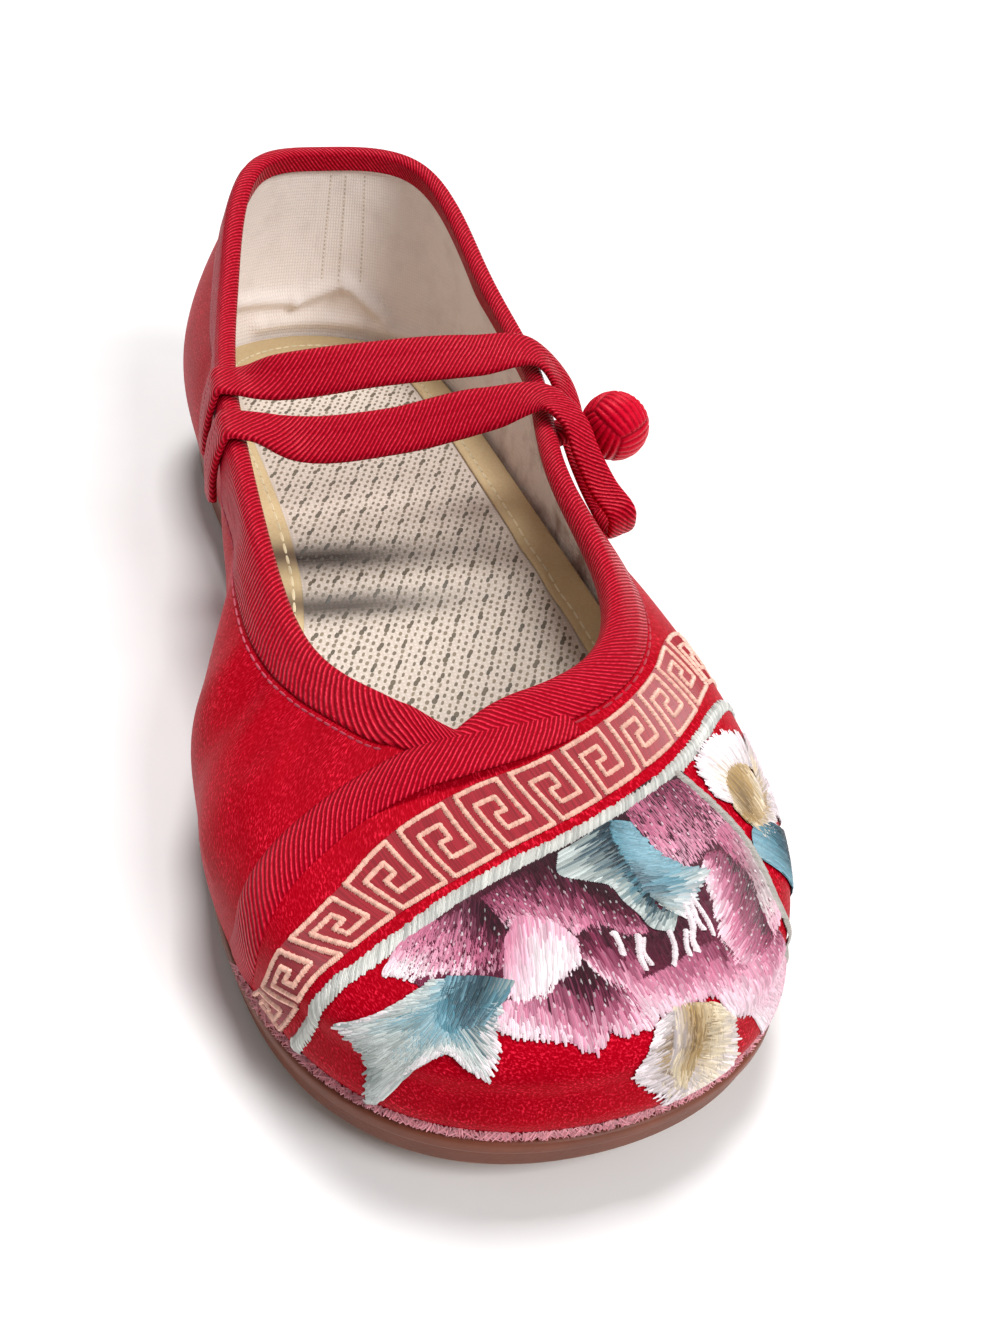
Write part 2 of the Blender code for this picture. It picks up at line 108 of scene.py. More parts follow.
def closed_spline(nodes, values, turns):
    """Cubic spline that closes on itself after one turn: each span a cubic with equal bends at its ends."""
    nodes = np.asarray(nodes, float)
    values = np.asarray(values, float)
    count = len(nodes)
    spans = np.diff(np.append(nodes, nodes[0] + 1.0))
    slopes = np.diff(np.append(values, values[0])) / spans
    matrix = np.zeros((count, count))
    target = np.zeros(count)
    for i in range(count):
        before = (i - 1) % count
        after = (i + 1) % count
        matrix[i, before] += spans[before]
        matrix[i, i] += 2.0 * (spans[before] + spans[i])
        matrix[i, after] += spans[i]
        target[i] = 6.0 * (slopes[i] - slopes[before])
    bend = np.linalg.solve(matrix, target)
    turns = np.asarray(turns, float) % 1.0
    i = np.searchsorted(nodes, turns, side="right") - 1
    j = (i + 1) % count
    x = turns - nodes[i]
    linear_part = slopes[i] - spans[i] * (2.0 * bend[i] + bend[j]) / 6.0
    return values[i] + x * linear_part + x**2 * bend[i] / 2.0 + x**3 * (bend[j] - bend[i]) / (6.0 * spans[i])


def column(name, turns):
    """One column of the section table, read at any turn."""
    return closed_spline([row.turn for row in SECTIONS], [getattr(row, name) for row in SECTIONS], turns)


def unit(vectors):
    """Vectors scaled to length one."""
    return vectors / np.linalg.norm(vectors, axis=-1, keepdims=True)


def ease(t):
    """Smooth step from 0 to 1."""
    t = np.clip(t, 0.0, 1.0)
    return t * t * (3.0 - 2.0 * t)


def toe_spring(y):
    """Lift of the toe off the floor, a parabola in front of the ball."""
    return TOE_SPRING * np.clip((SPRING_START - y) / (SPRING_START - SPRING_END), 0.0, None)**2


def floor_height(y):
    """Underside of the sole: toe spring, flat forefoot, an arch that is a squared sine, flat heel."""
    through_arch = np.clip((y - ARCH_FRONT) / (ARCH_BACK - ARCH_FRONT), 0.0, 1.0)
    return toe_spring(y) + ARCH_RISE * np.sin(np.pi * through_arch)**2


def bed_height(y):
    """Top of the sole, which thickens from forefoot to heel by a smooth step."""
    wedge = ease((y - WEDGE_START) / WEDGE_LENGTH)
    return toe_spring(y) + SOLE_TOE + (SOLE_HEEL - SOLE_TOE) * wedge


def feather(turns):
    """Line where the upper meets the sole, seen from above."""
    across = column("sole_across", turns) * BALL_WIDTH / 100.0
    along = column("sole_along", turns) * LENGTH / 100.0
    return np.stack([across, along], axis=-1)


def outward(turns):
    """Level direction out of the feather line: its run turned by a quarter."""
    step = 1e-4
    run = feather(turns + step) - feather(turns - step)
    return unit(np.stack([run[..., 1], -run[..., 0]], axis=-1))


def sole_tuck(turns):
    """How far the sole's edge is drawn in under the upper, on the inner side only."""
    return SOLE_TUCK * ease(turns / TUCK_HEEL) * ease((TUCK_TOE - turns) / TUCK_HEEL)


def towards_middle(turns, out, share):
    """Level place beside the feather line, drawn by a share towards the middle line of the sole.

    The middle line joins the midpoints of opposite turns and stops short of heel and toe.
    """
    near_heel = 0.07
    near_toe = 0.43
    side = np.clip(np.minimum(turns, 1.0 - turns), near_heel, near_toe)
    middle = (feather(side) + feather(1.0 - side)) / 2.0
    edge = feather(turns) + np.asarray(out)[..., None] * outward(turns)
    return edge + share * (middle - edge)


def grid_quads(rows, columns, join_rows=False, join_columns=False):
    """Index quads between neighbours of a grid, joined end to end where asked."""
    i = np.arange(rows if join_rows else rows - 1)
    j = np.arange(columns if join_columns else columns - 1)
    a, b = np.meshgrid(i, j, indexing="ij")
    c = (a + 1) % rows
    d = (b + 1) % columns
    corners = [a * columns + b, a * columns + d, c * columns + d, c * columns + b]
    return np.stack(corners, axis=-1).reshape(-1, 4)


def build_mesh(name, points, quads, ends=(), uv=None, marks=None, weld=False):
    """Mesh from points in mm and arrays of faces, turned so that the enclosed volume is positive.

    marks are numbers for each point, kept by name for the material to read.
    """
    points = np.asarray(points, float).reshape(-1, 3)
    a, b, c, d = (points[quads[:, k]] for k in range(4))
    volume = (np.cross(a, b) * c + np.cross(a, c) * d).sum()
    order = 1 if volume > 0.0 else -1
    faces = [group[:, ::order] for group in (quads, *ends)]
    sizes = np.concatenate([np.full(len(group), group.shape[1]) for group in faces])
    corners = np.concatenate([group.ravel() for group in faces]).astype(np.int32)
    mesh = bpy.data.meshes.new(name)
    mesh.vertices.add(len(points))
    mesh.vertices.foreach_set("co", (points * MM).ravel())
    mesh.loops.add(len(corners))
    mesh.loops.foreach_set("vertex_index", corners)
    mesh.polygons.add(len(sizes))
    mesh.polygons.foreach_set("loop_start", (np.cumsum(sizes) - sizes).astype(np.int32))
    mesh.update(calc_edges=True)
    if uv is not None:
        layer = mesh.uv_layers.new(name="cloth")
        layer.uv.foreach_set("vector", np.asarray(uv, float).reshape(-1, 2)[corners].ravel())
    for key, values in (marks or {}).items():
        attribute = mesh.attributes.new(key, "FLOAT", "POINT")
        attribute.data.foreach_set("value", np.asarray(values, float).ravel())
    if weld:
        shape = bmesh.new()
        shape.from_mesh(mesh)
        bmesh.ops.remove_doubles(shape, verts=shape.verts, dist=1e-3 * MM)
        shape.to_mesh(mesh)
        shape.free()
    mesh.shade_smooth()
    return mesh


def add_piece(name, mesh, material, replaces=()):
    """Put a mesh into the scene as a piece that rides on the shoe's one body."""
    mesh.materials.append(material)
    piece = bpy.data.objects.new(name, mesh)
    bpy.context.scene.collection.objects.link(piece)
    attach(piece, "root")
    if replaces:
        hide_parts(*replaces)
    return piece


def linear(code):
    """Linear colour of an sRGB hex value, with full alpha."""
    srgb = np.array([int(code[i:i + 2], 16) for i in (1, 3, 5)]) / 255.0
    curve = np.where(srgb <= 0.04045, srgb / 12.92, ((srgb + 0.055) / 1.055)**2.4)
    return (*curve.tolist(), 1.0)


def new_material(name, sockets):
    """Material with these values set on its shader's own sockets."""
    material = bpy.data.materials.new(name)
    material.use_nodes = True
    for socket, value in sockets.items():
        material.node_tree.nodes["Principled BSDF"].inputs[socket].default_value = value
    return material


def add_node(material, kind, settings=None, inputs=None):
    """Add a node with its settings; an input takes a value or another node's output."""
    made = material.node_tree.nodes.new(kind)
    for key, value in (settings or {}).items():
        setattr(made, key, value)
    for key, value in (inputs or {}).items():
        if isinstance(value, bpy.types.NodeSocket):
            material.node_tree.links.new(value, made.inputs[key])
        else:
            made.inputs[key].default_value = value
    return made


def wire(material, outputs):
    """Link node outputs into the sockets of the material's shader."""
    shader = material.node_tree.nodes["Principled BSDF"]
    for socket, output in outputs.items():
        material.node_tree.links.new(output, shader.inputs[socket])


# Sockets of a colour Mix node: factor, the two colours, and the colour that comes out
FACTOR, FIRST, SECOND, MIXED = 0, 6, 7, 2

# Gum rubber, moulded: cloudy tan brown that lets a little light in, paler where the thin edge wears
gum = new_material("moulded_gum_rubber", {
    "Roughness": 0.46, "IOR": 1.52, "Specular IOR Level": 0.35, "Subsurface Weight": 0.12,
    "Subsurface Scale": 0.002})
GUM_CLOUD = 9.0
GUM_GRAIN = 0.7
TREAD_PITCH = 3.2
gum_place = add_node(gum, "ShaderNodeTexCoord").outputs["Object"]
gum_cloud = add_node(gum, "ShaderNodeTexNoise", inputs={
    "Vector": gum_place, "Scale": 1.0 / (GUM_CLOUD * MM), "Detail": 4.0})
gum_tint = add_node(gum, "ShaderNodeMix", {"data_type": "RGBA"}, {
    FACTOR: gum_cloud.outputs["Fac"], FIRST: linear("#5c2e1e"), SECOND: linear("#8c4c34")})
gum_level = add_node(gum, "ShaderNodeAttribute", {"attribute_name": "level"}).outputs["Fac"]
gum_wear = add_node(gum, "ShaderNodeMapRange", {"interpolation_type": "SMOOTHSTEP"}, {
    "Value": gum_level, "From Min": 0.22, "From Max": 0.04, "To Max": 0.55})
gum_colour = add_node(gum, "ShaderNodeMix", {"data_type": "RGBA"}, {
    FACTOR: gum_wear.outputs[0], FIRST: gum_tint.outputs[MIXED], SECOND: linear("#b58a6c")})
gum_grain = add_node(gum, "ShaderNodeTexNoise", inputs={
    "Vector": gum_place, "Scale": 1.0 / (GUM_GRAIN * MM), "Detail": 3.0})
gum_bump = add_node(gum, "ShaderNodeBump", inputs={
    "Height": gum_grain.outputs["Fac"], "Strength": 0.35, "Distance": 0.15 * MM})
gum_ripple = add_node(gum, "ShaderNodeTexWave", {"bands_direction": "Y"}, {
    "Vector": gum_place, "Scale": np.pi / (10.0 * TREAD_PITCH * MM), "Distortion": 0.6, "Detail": 1.0})
gum_tread = add_node(gum, "ShaderNodeAttribute", {"attribute_name": "tread"}).outputs["Fac"]
gum_cut = add_node(gum, "ShaderNodeMath", {"operation": "MULTIPLY"}, {
    0: gum_ripple.outputs["Fac"], 1: gum_tread})
gum_relief = add_node(gum, "ShaderNodeBump", inputs={
    "Height": gum_cut.outputs[0], "Strength": 0.9, "Distance": 0.8 * MM, "Normal": gum_bump.outputs[0]})
wire(gum, {"Base Color": gum_colour.outputs[MIXED], "Normal": gum_relief.outputs[0]})

# Rows of the sole from the middle of its tread, out and up round its edge, to the middle of its top
SoleRow = namedtuple("SoleRow", "out level to_middle tread")
sole_turns = np.arange(SOLE_STATIONS) / SOLE_STATIONS
sole_rows = [SoleRow(SOLE_EDGE[0].out, 0.0, share, 1.0) for share in np.linspace(1.0, 0.1, 9)]
sole_rows += [SoleRow(edge.out, edge.level, 0.0, 0.0) for edge in SOLE_EDGE]
sole_rows += [SoleRow(SOLE_EDGE[-1].out, 1.0, share, 0.0) for share in np.linspace(0.1, 1.0, 5)]
sole_points = []
for row in sole_rows:
    flat = towards_middle(sole_turns, row.out - sole_tuck(sole_turns), row.to_middle)
    under = floor_height(flat[:, 1])
    top = bed_height(flat[:, 1]) - GAP
    sole_points.append(np.column_stack([flat, under + row.level * (top - under)]))
sole_quads = grid_quads(len(sole_rows), SOLE_STATIONS, join_columns=True)
sole_marks = {
    mark: np.repeat([getattr(row, mark) for row in sole_rows], SOLE_STATIONS) for mark in ("level", "tread")}
sole_mesh = build_mesh("gum_outsole", sole_points, sole_quads, marks=sole_marks, weld=True)
add_piece("gum_outsole", sole_mesh, gum, ["outsole"])

# Satin upper
# One satin outer, cut as an embroidered outer panel lapped over a plain inner one, padded and lasted
# over the sole's edge. Its soft creases are troughs and ridges placed one by one.
WALL = 1.8
SATIN = 0.7
THROAT_TURN = 0.5
THROAT_CUT = 0.030
THROAT_HALF = 0.035
GIRTH = 541.0
SATIN_STATIONS = 560
SATIN_ROWS = 81

# A cloth's hidden back keeps one row in five
HIDDEN_STEP = 5

# Creases: from one place to another on the upper, their half width and their depth (out is positive) in mm
Crease = namedtuple("Crease", "name turn height to_turn to_height width depth")
CREASES = [
    Crease("lasted roll round the toe", 0.430, 0.075, 0.580, 0.075, 3.0, 0.7),
    Crease("dip above the toe roll", 0.440, 0.215, 0.580, 0.215, 4.0, -0.7),
    Crease("toe gather inner", 0.470, 0.08, 0.474, 0.16, 1.6, -0.4),
    Crease("toe gather middle", 0.497, 0.08, 0.495, 0.17, 1.8, -0.4),
    Crease("toe gather outer", 0.512, 0.08, 0.509, 0.15, 1.6, -0.3),
    Crease("inner vamp hollow", 0.405, 0.80, 0.452, 0.96, 6.0, -0.8),
    Crease("inner vamp fold", 0.395, 0.35, 0.420, 0.78, 4.0, 0.6),
    Crease("inner ball flex", 0.372, 0.20, 0.380, 0.75, 5.0, -0.7),
    Crease("inner ball ridge", 0.352, 0.15, 0.356, 0.70, 5.0, 0.5),
    Crease("inner arch slack", 0.315, 0.30, 0.296, 0.80, 6.0, -0.8),
    Crease("inner arch ridge", 0.282, 0.15, 0.268, 0.70, 6.0, 0.6),
    Crease("inner seat dent", 0.180, 0.25, 0.172, 0.75, 7.0, -0.7),
    Crease("heel back dent", 0.040, 0.40, 0.070, 0.80, 8.0, -0.6),
    Crease("outer seat dent", 0.850, 0.25, 0.862, 0.75, 7.0, -0.7),
    Crease("outer waist ridge", 0.775, 0.15, 0.785, 0.70, 6.0, 0.6),
    Crease("outer arch slack", 0.735, 0.30, 0.722, 0.75, 5.0, -0.7),
    Crease("outer ball ridge", 0.682, 0.15, 0.690, 0.65, 5.0, 0.5),
    Crease("outer ball flex", 0.660, 0.20, 0.664, 0.70, 4.0, -0.6),
]


def feather_ring(turns, out, above_bed):
    """Points beside the feather line: out from it, and above the sole's top."""
    flat = feather(turns) + out * outward(turns)
    return np.concatenate([flat, (bed_height(flat[..., 1]) + above_bed)[..., None]], axis=-1)


def wall(turns, heights):
    """Outer face of the upper: a cubic curve from feather line to collar at each turn."""
    out = outward(turns)
    foot = feather_ring(turns, 0.0, 0.0)
    collar_across = column("collar_across", turns) * BALL_WIDTH / 100.0
    collar_along = column("collar_along", turns) * LENGTH / 100.0
    collar_high = INSTEP_HEIGHT + column("climb", turns) * (HEEL_HEIGHT - INSTEP_HEIGHT)
    collar = np.stack([collar_across, collar_along, collar_high], axis=-1)

    def lean(sideways, upward):
        """Step outwards by one column of the sections, and upwards by this much."""
        level = column(sideways, turns)[..., None] * out
        return np.concatenate([level, upward[..., None]], axis=-1)

    low = foot + lean("belly", column("rise", turns))
    high = collar + lean("reach", -column("dip", turns))
    v = np.asarray(heights, float)[..., None]
    return (1 - v)**3 * foot + 3 * (1 - v)**2 * v * low + 3 * (1 - v) * v**2 * high + v**3 * collar


def wall_slopes(turns, heights):
    """Change of the wall point per turn and per height, by small differences."""
    step = 1e-4
    per_turn = (wall(turns + step, heights) - wall(turns - step, heights)) / (2.0 * step)
    per_height = (wall(turns, heights + step) - wall(turns, heights - step)) / (2.0 * step)
    return per_turn, per_height


def wall_normal(turns, heights):
    """Outward direction of the wall, square to both of its slopes."""
    return unit(np.cross(*wall_slopes(turns, heights)))


def off_wall(turns, heights, lift):
    """Point off the upper's outer face, outside where lift is positive."""
    return wall(turns, heights) + np.asarray(lift)[..., None] * wall_normal(turns, heights)


def collar_edge(turns):
    """Height of the upper's cut edge: the collar, with a small notch at the throat."""
    near = np.clip(1.0 - np.abs(turns - THROAT_TURN) / THROAT_HALF, 0.0, None)
    return 1.0 - THROAT_CUT * near**2


def height_below_edge(turns, drop):
    """Height that lies a drop in mm below the collar edge: the drop over the wall's speed halfway down."""
    edge = collar_edge(turns)
    speed = np.linalg.norm(wall_slopes(turns, edge)[1], axis=-1)
    halfway = edge - 0.5 * drop / speed
    speed = np.linalg.norm(wall_slopes(turns, halfway)[1], axis=-1)
    return edge - drop / speed


wall_turns = np.linspace(0.0, 1.0, 121)
wall_share = np.linspace(0.0, 1.0, 41)
wall_steps = np.diff(wall(*np.meshgrid(wall_turns, wall_share, indexing="ij")), axis=1)
WALL_LENGTHS = np.linalg.norm(wall_steps, axis=2).sum(axis=1)


def cloth_place(turns, heights):
    """Millimetres round the shoe and up its wall, for cloth patterns and crease widths."""
    return np.stack([turns * GIRTH, heights * np.interp(turns % 1.0, wall_turns, WALL_LENGTHS)], axis=-1)


def folded(place, rows):
    """Height of folds at places on the cloth: depth times a bell curve of the distance from a fold's line.

    A line that ends far before the turn where it starts runs on past the back of the heel.
    """
    total = np.zeros(place.shape[:-1])
    for row in rows:
        start = cloth_place(row.turn, row.height)
        past_heel = 1.0 if row.to_turn < row.turn - 0.5 else 0.0
        line = cloth_place(row.to_turn + past_heel, row.to_height) - start
        along = np.clip(((place - start) @ line) / (line @ line), 0.0, 1.0)
        away = np.linalg.norm(place - start - along[..., None] * line, axis=-1)
        total += row.depth * np.exp(-(away / row.width)**2)
    return total


def creased(turns, heights):
    """Height of the satin's creases over its smooth wall."""
    return folded(cloth_place(turns, heights), CREASES)


def on_satin(turns, heights, lift):
    """Points on the creased satin with a lift in mm, and the outward direction there."""
    normal = wall_normal(turns, heights)
    rise = creased(turns, heights) + lift
    return wall(turns, heights) + rise[..., None] * normal, normal


def with_back(face, back, step=HIDDEN_STEP):
    """Ring of a cloth's face and its back, which keeps one row in each step."""
    return np.concatenate([face, back[:, ::-step]], axis=1)


# Satin, woven red polyester: smooth sheen broken by fine floats, whose glints are painted bright red into the
# colour; drawn about twice as coarse as real
satin = new_material("red_woven_satin", {
    "IOR": 1.5, "Specular IOR Level": 0.10, "Specular Tint": linear("#ff2438"),
    "Sheen Weight": 0.10, "Sheen Roughness": 0.4, "Sheen Tint": linear("#e01030")})
FLOAT_WIDE = 0.35
FLOAT_LONG = 0.7
FLOAT_PATCH = 7.0
SATIN_CLOUD = 50.0 / 3.0
satin_uv = add_node(satin, "ShaderNodeUVMap", {"uv_map": "cloth"}).outputs["UV"]
satin_map = add_node(satin, "ShaderNodeMapping", inputs={
    "Vector": satin_uv, "Scale": (1.0 / FLOAT_WIDE, 1.0 / FLOAT_LONG, 1.0), "Rotation": (0.0, 0.0, 0.35)})
satin_floats = add_node(satin, "ShaderNodeTexNoise", inputs={
    "Vector": satin_map.outputs[0], "Scale": 1.0, "Detail": 2.0, "Roughness": 0.6})
satin_patch = add_node(satin, "ShaderNodeTexNoise", inputs={
    "Vector": satin_uv, "Scale": 1.0 / FLOAT_PATCH, "Detail": 2.0})
satin_share = add_node(satin, "ShaderNodeMapRange", inputs={
    "Value": satin_patch.outputs["Fac"], "From Min": 0.35, "From Max": 0.65, "To Min": 0.35})
# Painted glints: where the floats are brightest, in cloudy patches, the colour turns bright red
satin_painted_glint = add_node(satin, "ShaderNodeMapRange", inputs={
    "Value": satin_floats.outputs["Fac"], "From Min": 0.51, "From Max": 0.70,
    "To Max": satin_share.outputs[0]})
satin_cloud = add_node(satin, "ShaderNodeTexNoise", inputs={
    "Vector": satin_uv, "Scale": 1.0 / SATIN_CLOUD, "Detail": 3.0})
satin_ground = add_node(satin, "ShaderNodeMix", {"data_type": "RGBA"}, {
    FACTOR: satin_cloud.outputs["Fac"], FIRST: linear("#8e000e"), SECOND: linear("#b40018")})
satin_colour = add_node(satin, "ShaderNodeMix", {"data_type": "RGBA"}, {
    FACTOR: satin_painted_glint.outputs[0], FIRST: satin_ground.outputs[MIXED], SECOND: linear("#ff2a48")})
satin_rough = add_node(satin, "ShaderNodeMapRange", inputs={
    "Value": satin_floats.outputs["Fac"], "To Min": 0.58, "To Max": 0.34})
satin_bump = add_node(satin, "ShaderNodeBump", inputs={
    "Height": satin_floats.outputs["Fac"], "Strength": 0.5, "Distance": 0.3 * MM})
wire(satin, {"Base Color": satin_colour.outputs[MIXED], "Roughness": satin_rough.outputs[0],
             "Normal": satin_bump.outputs[0]})

satin_turns = np.linspace(0.0, 1.0, SATIN_STATIONS + 1)[:, None]
satin_shares = np.linspace(0.0, 1.0, SATIN_ROWS)[None, :]
satin_heights = collar_edge(satin_turns) * satin_shares
satin_turns = np.broadcast_to(satin_turns, satin_heights.shape)
satin_face = on_satin(satin_turns, satin_heights, 0.0)[0]
satin_back = on_satin(satin_turns, satin_heights, -SATIN)[0]
satin_ring = with_back(satin_face, satin_back)
satin_place = cloth_place(satin_turns, satin_heights)
satin_quads = grid_quads(*satin_ring.shape[:2], join_columns=True)
satin_mesh = build_mesh(
    "satin_upper", satin_ring, satin_quads, uv=with_back(satin_place, satin_place), weld=True)
add_piece("satin_upper", satin_mesh, satin, ["upper"])

# Lining
# Cream woven cotton, sewn to the satin at the collar and joined by a seam at the heel. It is puckered low
# at the back, where it turns in under the insole, and darker in soft brown blotches on the outer side.
LINING_STATIONS = 420
LINING_ROWS = 56
LINING_FOOT = 0.06
SEAM_TURN = 0.985
BLOTCH_TURN = 0.72
BLOTCH_SPREAD = 0.09
BLOTCH_LEAST = 0.15

# Puckers, written down as the creases are; their depth is inwards
PUCKERS = [
    Crease("heel seam", 0.985, 0.05, 0.985, 1.00, 1.1, 0.25),
    Crease("heel fold left", 0.955, 0.19, 0.980, 0.33, 1.6, 2.2),
    Crease("heel fold middle", 0.981, 0.33, 0.008, 0.24, 1.7, 2.4),
    Crease("heel fold right", 0.010, 0.24, 0.045, 0.27, 1.5, 2.0),
    Crease("heel fold low", 0.925, 0.17, 0.962, 0.14, 1.6, 1.6),
    Crease("heel tuck", 0.970, 0.15, 0.030, 0.14, 1.7, 1.8),
    Crease("heel bulge", 0.968, 0.22, 0.978, 0.25, 3.5, 1.2),
    Crease("inner slack", 0.060, 0.34, 0.120, 0.42, 4.0, 0.6),
    Crease("outer slack front", 0.700, 0.35, 0.730, 0.75, 3.0, 0.5),
    Crease("outer slack middle", 0.748, 0.25, 0.770, 0.80, 3.2, 0.6),
    Crease("outer slack rear", 0.810, 0.30, 0.830, 0.75, 4.0, 0.5),
    Crease("inner waist slack", 0.235, 0.30, 0.250, 0.80, 4.0, 0.5),
]


def puckered(turns, heights):
    """How far the lining stands in at its puckers, counted over two laps to carry them past the heel."""
    place = cloth_place(turns, heights)
    return sum(folded(place + (lap * GIRTH, 0.0), PUCKERS) for lap in (0.0, 1.0))


# Cotton lining, plain woven: matt cream with a few darker brown blotches and a thread grain, drawn twice as
# coarse as real
cotton = new_material("cream_cotton_lining", {"Roughness": 0.9, "Sheen Weight": 0.1})
COTTON_THREAD = 0.8
BLOTCH = 11.0
cotton_uv = add_node(cotton, "ShaderNodeUVMap", {"uv_map": "cloth"}).outputs["UV"]
cotton_weft, cotton_warp = (add_node(cotton, "ShaderNodeTexWave", {"bands_direction": way}, {
    "Vector": cotton_uv, "Scale": np.pi / (10.0 * COTTON_THREAD), "Distortion": 1.5}) for way in "XY")
cotton_weave = add_node(cotton, "ShaderNodeMath", {"operation": "MULTIPLY"}, {
    0: cotton_weft.outputs["Fac"], 1: cotton_warp.outputs["Fac"]})
cotton_cloud = add_node(cotton, "ShaderNodeTexNoise", inputs={
    "Vector": cotton_uv, "Scale": 1.0 / BLOTCH, "Detail": 4.0, "Roughness": 0.6})
cotton_patch = add_node(cotton, "ShaderNodeMapRange", inputs={
    "Value": cotton_cloud.outputs["Fac"], "From Min": 0.48, "From Max": 0.70})
cotton_outer = add_node(cotton, "ShaderNodeAttribute", {"attribute_name": "smudge"}).outputs["Fac"]
cotton_blotch = add_node(cotton, "ShaderNodeMath", {"operation": "MULTIPLY"}, {
    0: cotton_patch.outputs[0], 1: cotton_outer})
cotton_ground = add_node(cotton, "ShaderNodeMix", {"data_type": "RGBA"}, {
    FACTOR: cotton_weave.outputs[0], FIRST: linear("#fbf0e8"), SECOND: linear("#fff9f4")})
cotton_colour = add_node(cotton, "ShaderNodeMix", {"data_type": "RGBA"}, {
    FACTOR: cotton_blotch.outputs[0], FIRST: cotton_ground.outputs[MIXED], SECOND: linear("#ac8f84")})
cotton_bump = add_node(cotton, "ShaderNodeBump", inputs={
    "Height": cotton_weave.outputs[0], "Strength": 0.5, "Distance": 0.2 * MM})
wire(cotton, {"Base Color": cotton_colour.outputs[MIXED], "Normal": cotton_bump.outputs[0]})

lining_turns = np.linspace(0.0, 1.0, LINING_STATIONS + 1)[:, None]
lining_heights = LINING_FOOT + (collar_edge(lining_turns) - LINING_FOOT) * np.linspace(0.0, 1.0, LINING_ROWS)
lining_turns = np.broadcast_to(lining_turns, lining_heights.shape)
lining_in = WALL + puckered(lining_turns, lining_heights)
lining_face = off_wall(lining_turns, lining_heights, -lining_in)
lining_back = off_wall(lining_turns, lining_heights, np.full(lining_heights.shape, -WALL + SATIN))
lining_ring = with_back(lining_face, lining_back)
lining_place = cloth_place(lining_turns, lining_heights)
lining_blotch = np.exp(-((lining_turns - BLOTCH_TURN) / BLOTCH_SPREAD)**2) + BLOTCH_LEAST
lining_quads = grid_quads(*lining_ring.shape[:2], join_columns=True)
lining_mesh = build_mesh(
    "cotton_lining", lining_ring, lining_quads, uv=with_back(lining_place, lining_place),
    marks={"smudge": with_back(lining_blotch, lining_blotch)}, weld=True)
add_piece("cotton_lining", lining_mesh, cotton)

# Insole
# A board topped with a cream woven mat, dropped in on the lasting margin. Short taupe floats cross the
# weave in slanting ranks with single picks between them, and two soft bends cross it under the ball.
# The straps' shadows are painted dark brown across the two bends.
INSOLE_INSET = 2.2
INSOLE_TAPE = 0.6
INSOLE_TAPE_WIDTH = 8.0
INSOLE_TOP = 6.0
INSOLE_STATIONS = 360
INSOLE_ROWS = 26
# Painted strap shadow: mm across the insole where it has faded out, and mm over which it fades
SHADOW_EDGE = 24.0
SHADOW_FADE = 36.0

# Bends across the insole: place along the foot, half width and depth in mm, and share of painted strap shadow
Bend = namedtuple("Bend", "name y width depth stain")
BENDS = [
    Bend("behind the ball", 22.0, 4.8, 0.5, 1.00),
    Bend("under the ball", 7.0, 4.2, 0.5, 0.92),
]


def at_bends(y, amount):
    """Sum over the bends of one of their columns times a bell curve of the distance from the bend."""
    return sum(getattr(bend, amount) * np.exp(-((y - bend.y) / bend.width)**2) for bend in BENDS)


def insole_height(flat):
    """Top of the insole mat: the sole's top plus the board, less two soft bends across it."""
    y = flat[..., 1]
    return bed_height(y) + INSOLE_TOP - INSOLE_TAPE - GAP - at_bends(y, "depth")


def worn(flat):
    """Share of painted strap shadow along the bends, strongest on the inner side and fading out towards the
    outer one.
    """
    return at_bends(flat[..., 1], "stain") * ease((SHADOW_EDGE - flat[..., 0]) / SHADOW_FADE)


# Woven mat, matt cream yarn with a fine crossed grain, darkened by painted strap shadows across the bends
mat = new_material("cream_woven_mat", {"Roughness": 0.88, "Sheen Weight": 0.08})
YARN = 0.9
mat_place = add_node(mat, "ShaderNodeTexCoord").outputs["Object"]
mat_weft, mat_warp = (add_node(mat, "ShaderNodeTexWave", {"bands_direction": way}, {
    "Vector": mat_place, "Scale": np.pi / (10.0 * YARN * MM), "Distortion": 1.0}) for way in "XY")
mat_weave = add_node(mat, "ShaderNodeMath", {"operation": "MULTIPLY"}, {
    0: mat_weft.outputs["Fac"], 1: mat_warp.outputs["Fac"]})
mat_ground = add_node(mat, "ShaderNodeMix", {"data_type": "RGBA"}, {
    FACTOR: mat_weave.outputs[0], FIRST: linear("#d2c4b7"), SECOND: linear("#e5d9ce")})
mat_strap_shadow = add_node(mat, "ShaderNodeAttribute", {"attribute_name": "worn"}).outputs["Fac"]
mat_colour = add_node(mat, "ShaderNodeMix", {"data_type": "RGBA"}, {
    FACTOR: mat_strap_shadow, FIRST: mat_ground.outputs[MIXED], SECOND: linear("#2e2018")})
mat_bump = add_node(mat, "ShaderNodeBump", inputs={
    "Height": mat_weave.outputs[0], "Strength": 0.5, "Distance": 0.25 * MM})
wire(mat, {"Base Color": mat_colour.outputs[MIXED], "Normal": mat_bump.outputs[0]})

insole_turns = np.arange(INSOLE_STATIONS) / INSOLE_STATIONS
insole_inset = -(INSOLE_INSET + INSOLE_TAPE + GAP)
insole_shares = np.linspace(0.0, 1.0, INSOLE_ROWS)
insole_top = []
for share in insole_shares:
    flat = towards_middle(insole_turns, insole_inset, share)
    insole_top.append(np.column_stack([flat, insole_height(flat)]))
insole_under = []
for share in insole_shares[::-HIDDEN_STEP]:
    flat = towards_middle(insole_turns, insole_inset, share)
    insole_under.append(np.column_stack([flat, bed_height(flat[:, 1]) + WALL + GAP]))
insole_points = np.array(insole_under + insole_top)
insole_quads = grid_quads(len(insole_points), INSOLE_STATIONS, join_columns=True)
